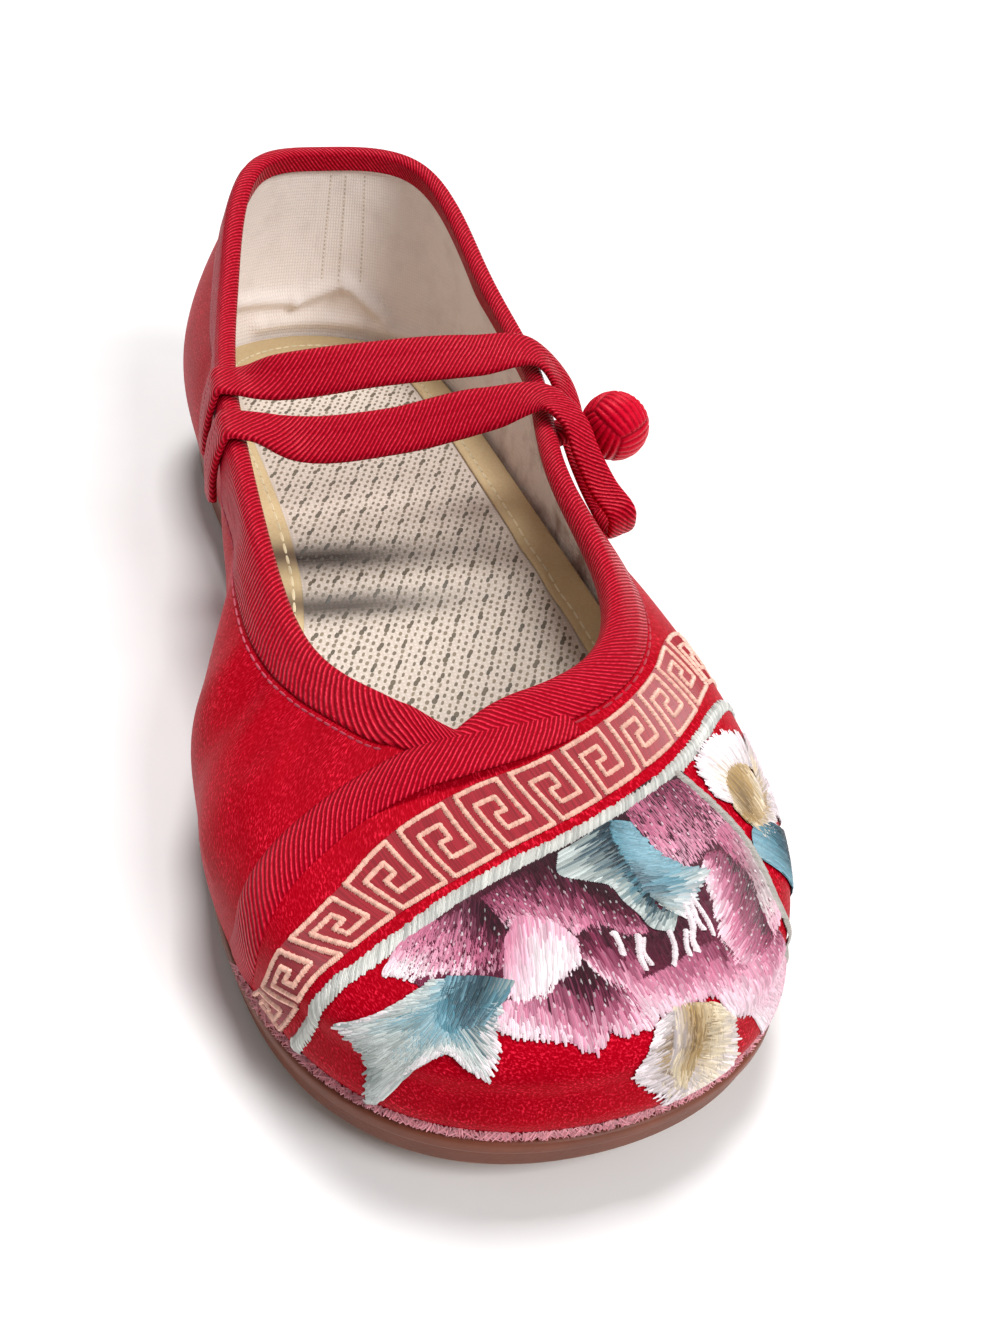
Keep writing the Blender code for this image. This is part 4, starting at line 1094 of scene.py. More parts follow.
# A patch of stitches: they run from the start edge to the finish edge, each a few places on the chart
# (thousandths of a turn, percent of height). Each row of tones gives the dyes from start to finish;
# the rows follow each other from the edges' first places to their last.
Patch = namedtuple("Patch", "name start finish tones")
PATCHES = [
    Patch("peony ground",
          [(477, 64.5), (488, 71), (500, 75), (515, 78), (530, 79), (545, 79.5), (555, 77)],
          [(473, 57), (490, 47), (502, 42), (515, 40.5), (530, 40.5), (545, 38), (556, 37)],
          [("wine", "plum"), ("burgundy", "wine"), ("burgundy", "plum")]),
    Patch("stamen ground",
          [(519.5, 62), (523, 60.5), (527, 59), (531, 58.5), (535, 61.5), (538.5, 62)],
          [(520, 51), (524, 50.5), (528, 50), (532, 50), (536, 49.5), (539, 50)],
          [("burgundy", "plum"), ("burgundy", "wine"), ("burgundy", "wine"), ("burgundy", "plum")]),
    Patch("outer mauve petal",
          [(535.5, 79), (540, 80), (545, 80), (550, 78.7), (553.5, 77)],
          [(536.5, 68.5), (540, 66), (545, 65), (550, 65), (555.5, 65)],
          [("mauve", "rose", "pink", "blush"), ("rose", "rose", "pink", "blush"),
           ("plum", "rose", "pink", "pink"), ("plum", "mauve", "rose", "pink"),
           ("mauve", "rose", "pink", "blush")]),
    Patch("left petal",
          [(475.5, 64), (482, 68), (488, 71), (494, 73.5), (500, 69)],
          [(469.5, 54.5), (474, 55.5), (480, 57), (487, 58.5), (496, 59.5)],
          [("rose", "pink", "pale", "white"), ("rose", "rose", "pink", "white", "white"),
           ("wine", "rose", "pink", "pink", "white"), ("burgundy", "burgundy", "mauve", "rose", "pale"),
           ("burgundy", "burgundy", "wine", "mauve", "rose")]),
    Patch("upper petal",
          [(495, 73.5), (502, 75.8), (509, 77), (515.5, 77.8), (520.5, 72), (525, 66)],
          [(499, 67.5), (505, 67.5), (510, 65.5), (515, 63.5), (520, 61), (525.5, 59.5)],
          [("plum", "rose", "pale"), ("wine", "mauve", "rose", "pale"),
           ("burgundy", "wine", "mauve", "rose", "blush"), ("burgundy", "burgundy", "plum", "rose", "pink"),
           ("burgundy", "burgundy", "wine", "mauve", "pink"), ("burgundy", "wine", "rose")]),
    Patch("back petal strip",
          [(550, 65.5), (554, 65.5), (557, 63)],
          [(553, 36), (556, 37), (559, 39)],
          [("rose", "mauve", "dove", "pink"), ("rose", "dove", "dove", "blush")]),
    Patch("pale petals",
          [(533, 41), (539, 39.5), (544, 39), (549, 38), (556, 36)],
          [(536, 28), (543, 22), (550, 17), (556, 20), (561, 24)],
          [("pale", "pale", "white"), ("pink", "pale", "pale"), ("rose", "pink", "pale"),
           ("plum", "rose", "pink", "pale")]),
    Patch("hanging petal",
          [(543, 25), (551, 20), (560.5, 24)],
          [(553, 3), (563, 2), (576, 4)],
          [("pale", "white", "pale"), ("blush", "pale", "pink"), ("pale", "pink", "rose")]),
    Patch("long petal",
          [(546, 65), (549.5, 62.5), (551.5, 58), (552.5, 53), (551.5, 48), (551.5, 43), (553.5, 37)],
          [(542.5, 63.5), (541, 58.5), (539.8, 53), (538.5, 48), (539, 43.5), (542, 39.5), (547, 36.5)],
          [("plum", "rose", "pale", "white"), ("burgundy", "mauve", "pink", "white"),
           ("burgundy", "plum", "rose", "pale"), ("burgundy", "mauve", "rose", "blush"),
           ("burgundy", "plum", "mauve", "pink")]),
    Patch("lower outer petal",
          [(514, 52), (520, 51), (525, 50.8), (530, 50.8), (535, 50.5), (539, 48.5)],
          [(517, 38.5), (521, 40.2), (526, 39.3), (531, 39), (536, 36.2), (543, 36)],
          [("pink", "blush", "pale", "white"), ("rose", "pink", "pale", "pale"),
           ("rose", "rose", "pink", "pale"), ("plum", "rose", "pink", "blush"),
           ("wine", "plum", "rose", "pink")]),
    Patch("lower petal",
          [(491.5, 53), (497, 53), (503, 55.5), (507, 57.5), (511, 59), (513, 54.5), (516.5, 51)],
          [(489, 45.5), (493, 43.3), (498, 42), (502, 40.5), (505.5, 36), (508, 38), (510.5, 40.5),
           (514.5, 38.3), (519, 39)],
          [("blush", "pale", "white"), ("rose", "pink", "pale", "white"), ("wine", "rose", "pink", "pale"),
           ("burgundy", "wine", "mauve", "pink", "pale"), ("burgundy", "burgundy", "plum", "rose", "pale"),
           ("burgundy", "wine", "mauve", "pink", "pale"), ("plum", "rose", "pink", "pale")]),
    Patch("curled petal",
          [(510.8, 60.5), (512, 63.5), (515, 64.8), (518, 64), (520.5, 61)],
          [(511.3, 58), (512.8, 54), (515.5, 50.3), (518, 50.3), (521, 52)],
          [("wine", "rose", "white", "white"), ("burgundy", "plum", "pink", "white"),
           ("burgundy", "plum", "rose", "pale"), ("burgundy", "wine", "mauve", "pink"),
           ("burgundy", "plum", "rose")]),
    Patch("ruffled centre",
          [(497.5, 66), (501, 69), (505, 69), (509, 67), (511.8, 63)],
          [(493.2, 55), (496.5, 52.3), (500, 52.8), (504, 55.2), (510, 58)],
          [("rose", "pink", "blush", "pale"), ("pink", "blush", "pale", "white"),
           ("pink", "white", "white", "white"), ("blush", "white", "white", "white"),
           ("blush", "pale", "white", "pale")]),
    Patch("bud ground",
          [(523.5, 40), (528, 38), (532.5, 35)],
          [(519, 13), (526, 6), (537, 10)],
          [("dove", "dove", "cream"), ("gold", "gold", "cream"), ("cream", "cream", "dove")]),
    Patch("bud body",
          [(531.5, 37), (529, 30), (527.5, 22), (526.5, 15), (525, 9)],
          [(534, 33.5), (538.5, 23.2), (540, 10), (535.5, 2), (525, 2)],
          [("gold", "cream", "cream"), ("bronze", "cream", "dove"), ("gold", "cream", "white"),
           ("dove", "cream", "white"), ("dove", "white", "white")]),
    Patch("bud sepal",
          [(524, 40), (521.8, 33), (521, 25), (522, 17), (525, 9)],
          [(519.8, 38.5), (516.8, 31), (513.8, 23.3), (515.5, 16), (522, 3)],
          [("dove", "dove", "white"), ("bronze", "dove", "white"), ("gold", "dove", "white"),
           ("bronze", "dove", "white"), ("dove", "white", "white")]),
    Patch("bud heart",
          [(523.5, 40.3), (527.5, 38.7), (532, 35.5)],
          [(521.3, 15), (524, 11), (527, 14)],
          [("cream", "dove", "cream", "cream"), ("gold", "bronze", "gold", "cream"),
           ("cream", "gold", "gold", "gold")]),
    Patch("small bud petal",
          [(560.5, 65.5), (563, 68.5), (568, 68), (573, 65), (578, 60)],
          [(557.3, 70), (560, 76), (568, 75.5), (577, 70.5), (586, 62.5)],
          [("dove", "white", "white"), ("cream", "white", "white"), ("dove", "white", "white"),
           ("dove", "dove", "white")]),
    Patch("small bud side",
          [(561.5, 60), (565.5, 57), (571, 56), (576, 58), (579, 61)],
          [(563.5, 53), (571, 49.5), (580, 49), (588, 53), (593, 58)],
          [("gold", "cream", "dove"), ("gold", "dove", "white"), ("cream", "dove", "pale")]),
    Patch("small bud heart",
          [(560, 65), (563.2, 69), (569.5, 68), (575, 63)],
          [(561, 60), (564.5, 56.5), (570, 55.5), (575, 57.5)],
          [("cream", "gold", "gold"), ("gold", "bronze", "gold"), ("gold", "gold", "cream"),
           ("gold", "cream", "dove")]),
    Patch("side petal",
          [(572, 53), (582, 49), (592, 44)],
          [(590, 32), (598, 33), (606, 36)],
          [("dove", "white", "pale"), ("white", "pale", "pink")]),
    Patch("side leaf",
          [(558, 54), (562, 57), (569, 52.5)],
          [(582, 16), (588, 18), (593, 25)],
          [("sky", "sky", "teal", "slate"), ("teal", "slate", "ink", "slate"),
           ("slate", "ink", "slate", "sage")]),
    Patch("leaf dark lobe",
          [(516.5, 78.2), (514.5, 75.2), (519, 72.8), (523, 70.5), (524, 67), (525.5, 63.5), (526.5, 60),
           (530, 57.3)],
          [(530, 79.5), (529, 76), (528.8, 73), (528.5, 70.5), (528.8, 67.5), (529.2, 65), (530, 62),
           (532.5, 60)],
          [("silver", "sage", "slate", "ink"), ("silver", "sage", "slate", "ink"),
           ("silver", "sage", "teal", "ink"), ("silver", "sage", "slate", "ink"),
           ("silver", "silver", "sage", "slate")]),
    Patch("leaf light lobe",
          [(531, 79.5), (529.3, 77), (528.8, 74), (528.8, 70.5), (529.3, 66.5), (531, 62.5)],
          [(535.2, 77.5), (535.6, 73), (536.4, 70), (539, 66.5), (542.5, 62.5), (533.5, 58)],
          [("slate", "teal", "sky"), ("teal", "sky", "sky"), ("teal", "sky", "sky"),
           ("slate", "sky", "sky"), ("slate", "teal", "silver"), ("sage", "silver", "white")]),
    Patch("star leaf ground",
          [(489, 57), (481, 53), (472, 46)],
          [(488, 42), (478, 37.5), (463, 26)],
          [("slate", "teal", "sky"), ("teal", "teal", "sky"), ("sky", "sky", "silver")]),
    Patch("star leaf wing",
          [(488, 57.5), (484, 54.5), (480, 51), (478, 48)],
          [(480, 56.3), (472, 48.8), (462, 39.3), (452, 31)],
          [("slate", "sky", "silver"), ("teal", "sky", "silver", "silver"),
           ("sky", "silver", "sage", "white"), ("sky", "silver", "silver", "sage")]),
    Patch("star leaf long point",
          [(480, 51), (478, 47), (478, 43)],
          [(452, 31.5), (455.5, 25), (454, 13), (452, 1)],
          [("teal", "sky", "silver", "white"), ("sky", "sage", "silver", "sage"),
           ("sky", "silver", "silver", "sage"), ("teal", "sage", "silver", "silver")]),
    Patch("star leaf lower edge",
          [(477.5, 45), (479.5, 43), (482.5, 43)],
          [(452, 1), (461, 17.5), (470, 29), (477.5, 36), (481, 31.5), (484, 28.5)],
          [("sky", "sage", "silver", "silver"), ("sky", "silver", "white"), ("teal", "silver", "white"),
           ("teal", "silver", "silver", "white")]),
    Patch("star leaf short point",
          [(481.5, 44), (485, 47.5), (488.5, 52)],
          [(483, 28.5), (487.5, 37), (489.5, 46), (492.5, 52.5)],
          [("teal", "silver", "silver", "white"), ("slate", "sage", "white"), ("slate", "teal", "silver")]),
    Patch("star leaf middle",
          [(496, 57), (490, 58), (483, 57.5)],
          [(487, 46), (481.5, 43.5), (478, 47)],
          [("sage", "teal", "slate", "sky"), ("slate", "ink", "slate", "teal"),
           ("sky", "slate", "teal", "sky")]),
]


def shade(dyes, share):
    """Linear colour along a list of dyes, at shares from 0 to 1."""
    stops = np.array([linear(DYES[dye]) for dye in dyes])
    places = np.linspace(0.0, 1.0, len(dyes))
    return np.stack([np.interp(share, places, stops[:, k]) for k in range(4)], axis=-1)


def tone(rows, place, share):
    """Colour between rows of dyes: along each row by share, and from row to row by place."""
    shades = np.array([shade(row, share) for row in rows])
    at = np.clip(place, 0.0, 1.0) * (len(rows) - 1)
    i = np.minimum(at.astype(int), len(rows) - 2)
    t = (at - i)[:, None]
    each = np.arange(len(share))
    return (1.0 - t) * shades[i, each] + t * shades[i + 1, each]


def on_chart(places, lift):
    """Points and outward directions of chart places on the creased satin."""
    return on_satin(places[..., 0] / 1000.0, places[..., 1] / 100.0, lift)


def patch_edges(patch):
    """Start edge and finish edge of a patch as lines of points on the satin."""
    along = np.linspace(0.0, 1.0, EDGE_POINTS)
    return [on_chart(curve_through(rows, along), 0.0)[0] for rows in (patch.start, patch.finish)]


def in_patch(patch, place, share):
    """Chart places in a patch: by place along both of its edges, and by share from start to finish."""
    first = curve_through(patch.start, place)[:, None]
    last = curve_through(patch.finish, place)[:, None]
    return first + share[..., None] * (last - first)


def patch_stitches(patch, base, rng):
    """Long-and-short stitches between a patch's edges, over a bed of wide plain ones.

    A stitch keeps its place along both edges and lies on the straight line between them. Each line of
    stitches starts out of step with the next, and a stitch is bowed up between its ends. The upper layer
    is loose: its places, ends, lifts and tones stray, by shares of a line or a row of stitches.
    """
    start, finish = patch_edges(patch)
    wide = max(np.linalg.norm(np.diff(side, axis=0), axis=1).sum() for side in (start, finish))
    deep = np.linalg.norm(finish - start, axis=1).mean()
    layers = [(BED_THREAD * THREAD, base, BED_RISE, 0.0), (THREAD, base + OVER_BED, THREAD_RISE, 1.0)]
    groups = []
    for thread, lift, rise, loose in layers:
        rows = max(1, round(deep * THREAD / (thread * LONG_STITCH)))
        lines = max(3, int(wide / (LINE_STEP * thread)))
        line, row = (a.ravel() for a in np.meshgrid(np.arange(lines), np.arange(rows + 1), indexing="ij"))
        count = len(line)
        place = (line + 0.5 + LINE_STRAY * loose * rng.uniform(-1.0, 1.0, count)) / lines
        begin = (row - rng.uniform(0.0, 1.0, lines)[line] - STITCH_LEAD) / rows
        limit = 1.0 + END_STRAY * loose / rows * rng.uniform(-1.0, 1.0, count)
        end = np.clip(begin + STITCH_ROWS / rows, 0.05, limit)
        begin = np.clip(begin, -START_STRAY * loose, end - STITCH_LEAST / rows)
        along = np.linspace(0.0, 1.0, STATIONS_A_THREAD)
        share = begin[:, None] + (end - begin)[:, None] * along
        stray = LIFT_STRAY * loose * rng.uniform(0.0, 1.0, (count, 1))
        lifts = lift + BOW * np.sin(np.pi * along)[None] + stray
        paths, up = on_chart(in_patch(patch, place, share), lifts)
        middle = share.mean(axis=1) + TONE_STRAY * loose / rows * rng.normal(0.0, 1.0, count)
        aside = place + TONE_ASIDE * loose * rng.normal(0.0, 1.0, count)
        colour = tone(patch.tones, aside, np.clip(middle, 0.0, 1.0))
        colour[:, :3] *= 1.0 + TONE_SPREAD * rng.uniform(-1.0, 1.0, (count, 1))
        groups.append((paths, up, np.full(count, thread), rise, colour))
    return groups


def glint_stitches(patch, lift, rng):
    """Painted highlights of stitch ends catching the light: short paler stitches spread evenly over a patch.
    """
    start, finish = patch_edges(patch)
    wide = np.linalg.norm(np.diff((start + finish) / 2.0, axis=0), axis=1).sum()
    deep = np.linalg.norm(finish - start, axis=1).mean()
    count = int(wide * deep / GLINT_AREA)
    place = (np.arange(count) * GOLDEN + GLINT_STRAY * rng.normal(0.0, 1.0, count)) % 1.0
    reach = GLINT_HALF / deep * np.linspace(-1.0, 1.0, STATIONS_A_THREAD)
    share = np.linspace(GLINT_MARGIN, 1.0 - GLINT_MARGIN, count)[:, None] + reach
    paths, up = on_chart(in_patch(patch, place, share), np.full(share.shape, lift))
    colour = tone(patch.tones, place, share.mean(axis=1))
    colour[:, :3] += rng.uniform(*GLINT_WHITE, (count, 1)) * (1.0 - colour[:, :3])
    return paths, up, np.full(count, THREAD), THREAD_RISE, colour


# Columns of short stitches: how uneven their length is, and how far in mm their ends sink into the cloth
COLUMN_UNEVEN = 0.18
COLUMN_SUNK = 0.08


def satin_column(chart, half, code, rng, step=0.36, slant=0.5, lift=0.1, rise=0.2, crown=0.3, spread=0.12):
    """Column of short stitches across a line on the chart, leaning along it by the slant.

    The line is walked at even steps; each stitch goes from one side to the other over a low crown.
    """
    path, up = on_chart(chart, np.full(len(chart), lift))
    along = walked(path)
    at = np.arange(0.5 * step, along[-1], step)
    centres = np.stack([np.interp(at, along, path[:, k]) for k in range(3)], axis=-1)
    normals = unit(np.stack([np.interp(at, along, up[:, k]) for k in range(3)], axis=-1))
    run = unit(np.gradient(centres, axis=0))
    lean = unit(np.cross(normals, run) + slant * run)
    across = np.linspace(-1.0, 1.0, STATIONS_A_THREAD)[None, :, None]
    uneven = half * (1.0 + COLUMN_UNEVEN * rng.uniform(-1.0, 1.0, (len(at), 1, 1)))
    arch = crown * (1.0 - across**2) - COLUMN_SUNK
    paths = centres[:, None] + across * uneven * lean[:, None] + arch * normals[:, None]
    ups = np.broadcast_to(normals[:, None], paths.shape)
    return paths, ups, np.full(len(at), 2.0 * step), rise, dyed(rng, len(at), code, spread)


# Embroidery thread, filament rayon: bright, with a long gleam across each stitch
rayon = new_material("rayon_embroidery_thread", {"Roughness": 0.40, "IOR": 1.5})
rayon_dye = add_node(rayon, "ShaderNodeVertexColor", {"layer_name": "dye"})
wire(rayon, {"Base Color": rayon_dye.outputs["Color"]})

rng = np.random.default_rng(3)
motifs = {"leaf": [], "bud": [], "peony": []}
for number, patch in enumerate(PATCHES):
    motif = next((name for name in motifs if name in patch.name), "peony")
    motifs[motif] += patch_stitches(patch, PATCH_LIFT + PATCH_STEP * number, rng)
    if "petal" in patch.name:
        motifs[motif].append(glint_stitches(patch, GLINT_LIFT + PATCH_STEP * number, rng))

# Stamens stand on the dark ground: places on the chart from foot to tip, and half width in mm
STAMENS = [
    ([(518.6, 57.5), (519, 60), (518.9, 62.5)], 0.6),
    ([(521.5, 52.5), (521.6, 56), (523.2, 60)], 0.5),
    ([(523, 53), (522.6, 56.5), (524, 59)], 0.35),
    ([(527, 50.5), (528.8, 54), (529.3, 57.5)], 0.45),
    ([(531, 50.5), (531.2, 53), (532.6, 56)], 0.4),
    ([(532.8, 50.3), (533, 53.5), (534.4, 56), (535, 60.5)], 0.55),
    ([(536.2, 53.5), (535.8, 56), (536.4, 60)], 0.45),
    ([(537.6, 51), (537.8, 55), (537.2, 61.5)], 0.4),
]
for places, half in STAMENS:
    line = curve_through(places, np.linspace(0.0, 1.0, EDGE_POINTS))
    motifs["peony"].append(satin_column(line, half, DYES["white"], rng, lift=0.35, crown=0.25))

# A grey stalk runs down beside the peony to the sole
STALK = [(553.5, 78.5), (555.3, 70), (557, 60), (557.5, 50), (558, 43), (561, 33), (567, 19), (574, 6)]
STALK_HALF = 0.9
stalk_line = curve_through(STALK, np.linspace(0.0, 1.0, 200))
motifs["leaf"].append(satin_column(stalk_line, STALK_HALF, "#a9a39c", rng, slant=0.8, lift=0.30))
for motif, groups in motifs.items():
    add_threads(f"{motif}_embroidery", groups, rayon)

# The fret's two edges and the silver cord on the chart, from the inner sole edge over the vamp and down
# to the outer sole edge
FRET_TOP = [
    (412, 0), (424, 20), (437, 40), (449, 55), (461, 70), (470, 80), (482, 86.5), (500, 90.5), (520, 91.7),
    (545, 92.3), (565, 91.5), (582, 89.5), (600, 86), (616, 78), (630, 64), (641, 44), (649, 20), (655, 0)]
FRET_BASE = [
    (424, 0), (437, 23), (451, 43), (463, 57), (473, 66.8), (482, 72.7), (492, 77), (506, 80.6),
    (522, 82.3), (540, 82.8), (556, 81.8), (572, 79.2), (588, 74.5), (602, 67), (614, 56), (624, 39.5),
    (632, 19.5), (638, 0)]
SILVER_CORD = [
    (429, 0), (440, 21), (453, 40.5), (465, 54.5), (476, 65), (488, 73), (502, 77.7), (518, 79.7),
    (535, 80.3), (550, 79.5), (565, 77.6), (580, 73.6), (594, 66), (606, 54.5), (616, 39), (624, 20),
    (630, 0)]

# One repeat of the fret on a unit square: up the left side, over, down and in to the middle, and back out
FRET_KEY = [(0.00, 0.00), (0.00, 1.00), (0.76, 1.00), (0.76, 0.26), (0.37, 0.26), (0.37, 0.52), (0.55, 0.52),
            (0.55, 0.76), (0.18, 0.76), (0.18, 0.00), (1.00, 0.00)]
FRET_PITCH = 9.3
FRET_LEAN = 0.13
FRET_HALF = 0.42
FRET_BORDER = 0.06
KEY_STEPS = 24
GROUND_STITCHES = 900
GROUND_THREAD = 0.42
GROUND_RISE = 0.10
GROUND_LIFT = 0.03
GROUND_MARGIN = 0.02
CORD_HALF = 1.5

band = np.linspace(0.0, 1.0, 600)
band_middle = (curve_through(FRET_TOP, band) + curve_through(FRET_BASE, band)) / 2.0
fret_walk = walked(on_chart(band_middle, np.zeros(len(band)))[0])
fret_units = int(fret_walk[-1] / FRET_PITCH)


def in_fret(along, across):
    """Chart place in the fret's band: along it as a share of its length, and across from base to top."""
    share = np.interp(along * fret_walk[-1], fret_walk, band)
    return (curve_through(FRET_BASE, share) * (1.0 - across[..., None])
            + curve_through(FRET_TOP, share) * across[..., None])


key_corners = np.arange(len(FRET_KEY))
key_places = np.linspace(0.0, key_corners[-1], KEY_STEPS * key_corners[-1], endpoint=False)
key_line = np.stack([np.interp(key_places, key_corners, axis) for axis in np.array(FRET_KEY).T], axis=-1)
fret_line = np.concatenate([key_line + (repeat, 0.0) for repeat in range(fret_units)])
fret_along = (fret_line[:, 0] + FRET_LEAN * (1.0 - fret_line[:, 1])) / (fret_units + FRET_LEAN)
fret_chart = in_fret(fret_along, FRET_BORDER + (1.0 - 2.0 * FRET_BORDER) * fret_line[:, 1])
ground_along = ((np.arange(GROUND_STITCHES) + 0.5) / GROUND_STITCHES)[:, None]
ground_across = np.linspace(GROUND_MARGIN, 1.0 - GROUND_MARGIN, 6)[None, :]
ground_chart = in_fret(*np.broadcast_arrays(ground_along, ground_across))
ground_paths, ground_up = on_chart(ground_chart, np.full(ground_chart.shape[:2], GROUND_LIFT))
ground_wide = np.full(GROUND_STITCHES, GROUND_THREAD)
ground_colour = dyed(rng, GROUND_STITCHES, "#9c2430", 0.25)
add_threads("key_fret_embroidery", [
    (ground_paths, ground_up, ground_wide, GROUND_RISE, ground_colour),
    satin_column(
        fret_chart, FRET_HALF, "#f0bba8", rng, step=0.32, slant=0.7, lift=0.16, crown=0.25, spread=0.2),
], rayon)
cord_line = curve_through(SILVER_CORD, np.linspace(0.0, 1.0, 400))
add_threads("silver_cord_embroidery", [satin_column(
    cord_line, CORD_HALF, "#c6c6c0", rng, step=0.32, slant=1.1, lift=0.10, crown=0.4, spread=0.30)], rayon)

# Button strap
# One red twill tape doubled into a loop: both ends are sewn outside the inner collar, two bands cross
# the instep, and the loop is hooked over the ball knot and round its stem.
STRAP_THICK = 1.8
STRAP_WIDTH = 9.5
STRAP_REAR_TURN = 0.222
STRAP_FRONT_TURN = 0.252
STRAP_SEWN_DROPS = (12.0, 7.0, 2.0)
STRAP_STEP = 0.5
STRAP_SIDES = 24
STRAP_SHOULDER = 0.75
STRAP_CREST = 1.1
STRAP_EDGE = 5

# A soft fold along the tape: its place and width as shares of half the tape, and its depth in mm
FOLD_PLACE = 0.15
FOLD_WIDTH = 0.06
FOLD_DEPTH = 0.10

# The strap's middle line between its sewn ends in mm, the direction across the tape, and its width in mm
StrapPoint = namedtuple("StrapPoint", "name x y z across_x across_y across_z width")
STRAP_RUN = [
    StrapPoint("rear band inner", -21.0, 39.5, 45.3, 0.0, 0.80, 0.60, 9.5),
    StrapPoint("rear band middle", 0.0, 42.3, 46.8, 0.0, 0.75, 0.66, 9.5),
    StrapPoint("rear band outer", 20.0, 45.0, 47.2, 0.0, 0.82, 0.57, 9.5),
    StrapPoint("rear over collar", 34.8, 46.6, 46.6, 0.08, 0.97, 0.20, 9.0),
    StrapPoint("rear turned down", 40.2, 44.4, 41.0, 0.50, 0.85, 0.15, 8.0),
    StrapPoint("rear behind stem", 41.2, 37.5, 34.6, 0.92, 0.35, 0.10, 6.5),
    StrapPoint("rear under stem", 41.6, 28.0, 30.6, 0.95, 0.15, 0.20, 6.0),
    StrapPoint("loop low", 42.4, 16.5, 27.6, 0.93, 0.10, 0.30, 5.8),
    StrapPoint("loop end", 42.7, 8.2, 27.6, 0.90, 0.00, 0.40, 5.8),
    StrapPoint("loop front", 42.0, 7.0, 31.8, 0.90, 0.00, 0.40, 5.8),
    StrapPoint("front before stem", 39.4, 12.5, 35.0, 0.92, 0.05, 0.35, 5.8),
    StrapPoint("front beside knot", 37.2, 18.0, 39.2, 0.95, 0.10, 0.25, 5.6),
    StrapPoint("front turned out", 35.7, 24.2, 43.3, 0.85, 0.50, 0.10, 6.2),
    StrapPoint("front over collar", 32.0, 29.6, 45.2, 0.30, 0.93, 0.16, 8.0),
    StrapPoint("front band outer", 20.0, 31.5, 42.2, 0.0, 0.80, 0.60, 9.5),
    StrapPoint("front band middle", 0.0, 28.5, 39.2, 0.0, 0.75, 0.66, 9.5),
    StrapPoint("front band inner", -19.0, 26.0, 39.6, 0.0, 0.82, 0.57, 9.5),
]


def sewn_end(turn):
    """Strap rows on the inner side: flat on the outside of the binding, then over the collar."""
    lift = GAP + TAPE + GAP + STRAP_THICK / 2.0
    at = np.full(len(STRAP_SEWN_DROPS), turn)
    heights = height_below_edge(at, np.array(STRAP_SEWN_DROPS))
    outside = off_wall(at, heights, np.full(len(at), lift))
    top = np.array([turn])
    edge = collar_edge(top)
    per_turn, per_height = wall_slopes(top, edge)
    up = unit(per_height)
    shoulder = off_wall(top, edge, np.full(1, STRAP_SHOULDER * lift)) + STRAP_SHOULDER * lift * up
    crest = off_wall(top, edge, np.full(1, -WALL)) + STRAP_CREST * lift * up
    points = np.concatenate([outside, shoulder, crest])
    along = np.repeat(-unit(per_turn), len(points), axis=0)
    return np.column_stack([points, along, np.full(len(points), STRAP_WIDTH)])


def spaced_curve(rows, step):
    """Smooth curve through rows of place, direction and width, read at even steps in mm.

    Each span is a cubic whose end slopes are the differences of the rows over the distance walked.
    """
    rows = np.asarray(rows, float)
    knots = walked(rows[:, :3])
    slopes = np.gradient(rows, knots, axis=0)
    at = np.linspace(0.0, knots[-1], int(knots[-1] / step))
    i = np.clip(np.searchsorted(knots, at, side="right") - 1, 0, len(rows) - 2)
    span = (knots[i + 1] - knots[i])[:, None]
    share = (at - knots[i])[:, None] / span
    return cubic_span(rows[i], span * slopes[i], rows[i + 1], span * slopes[i + 1], share)


def tape_tube(centres, wide, thin, half_wide, half_thin, slant):
    """Tape tube along a path: flat faces that round off at the edges, and a soft fold line.

    Returns the ring points and the twill's place at each of them; slant is the ribs' lean along the path.
    """
    upper_face = np.linspace(1.0, -1.0, STRAP_SIDES)
    under_face = np.linspace(-1.0, 1.0, STRAP_SIDES)[1:-1]
    across = np.concatenate([upper_face, under_face])[None, :]
    facing = np.concatenate([np.ones(len(upper_face)), -np.ones(len(under_face))])[None, :]
    level = facing * np.sqrt(1.0 - np.abs(across)**STRAP_EDGE)
    fold = FOLD_DEPTH * np.exp(-((across - FOLD_PLACE) / FOLD_WIDTH)**2)
    side = (across * half_wide[:, None])[..., None] * wide[:, None]
    deep = (level * (half_thin[:, None] - fold))[..., None] * thin[:, None]
    place = twill_place(walked(centres)[:, None], across * half_wide[:, None], slant[:, None])
    return centres[:, None] + side + deep, place


strap_free = np.array([row[1:] for row in STRAP_RUN])
strap_rows = np.concatenate([sewn_end(STRAP_REAR_TURN), strap_free, sewn_end(STRAP_FRONT_TURN)[::-1]])
strap_path = spaced_curve(strap_rows, STRAP_STEP)
strap_run = unit(np.gradient(strap_path[:, :3], axis=0))
strap_wide = strap_path[:, 3:6]
strap_wide = unit(strap_wide - (strap_wide * strap_run).sum(axis=1, keepdims=True) * strap_run)
strap_thin = np.cross(strap_run, strap_wide)
strap_half = np.full(len(strap_path), STRAP_THICK / 2.0)
strap_slant = np.where(np.arange(len(strap_path)) < len(strap_path) / 2, -TWILL_SLANT, TWILL_SLANT)
strap_ring, strap_place = tape_tube(
    strap_path[:, :3], strap_wide, strap_thin, strap_path[:, 6] / 2.0, strap_half, strap_slant)
add_tape("twill_button_strap", strap_ring, strap_place, "button_strap")

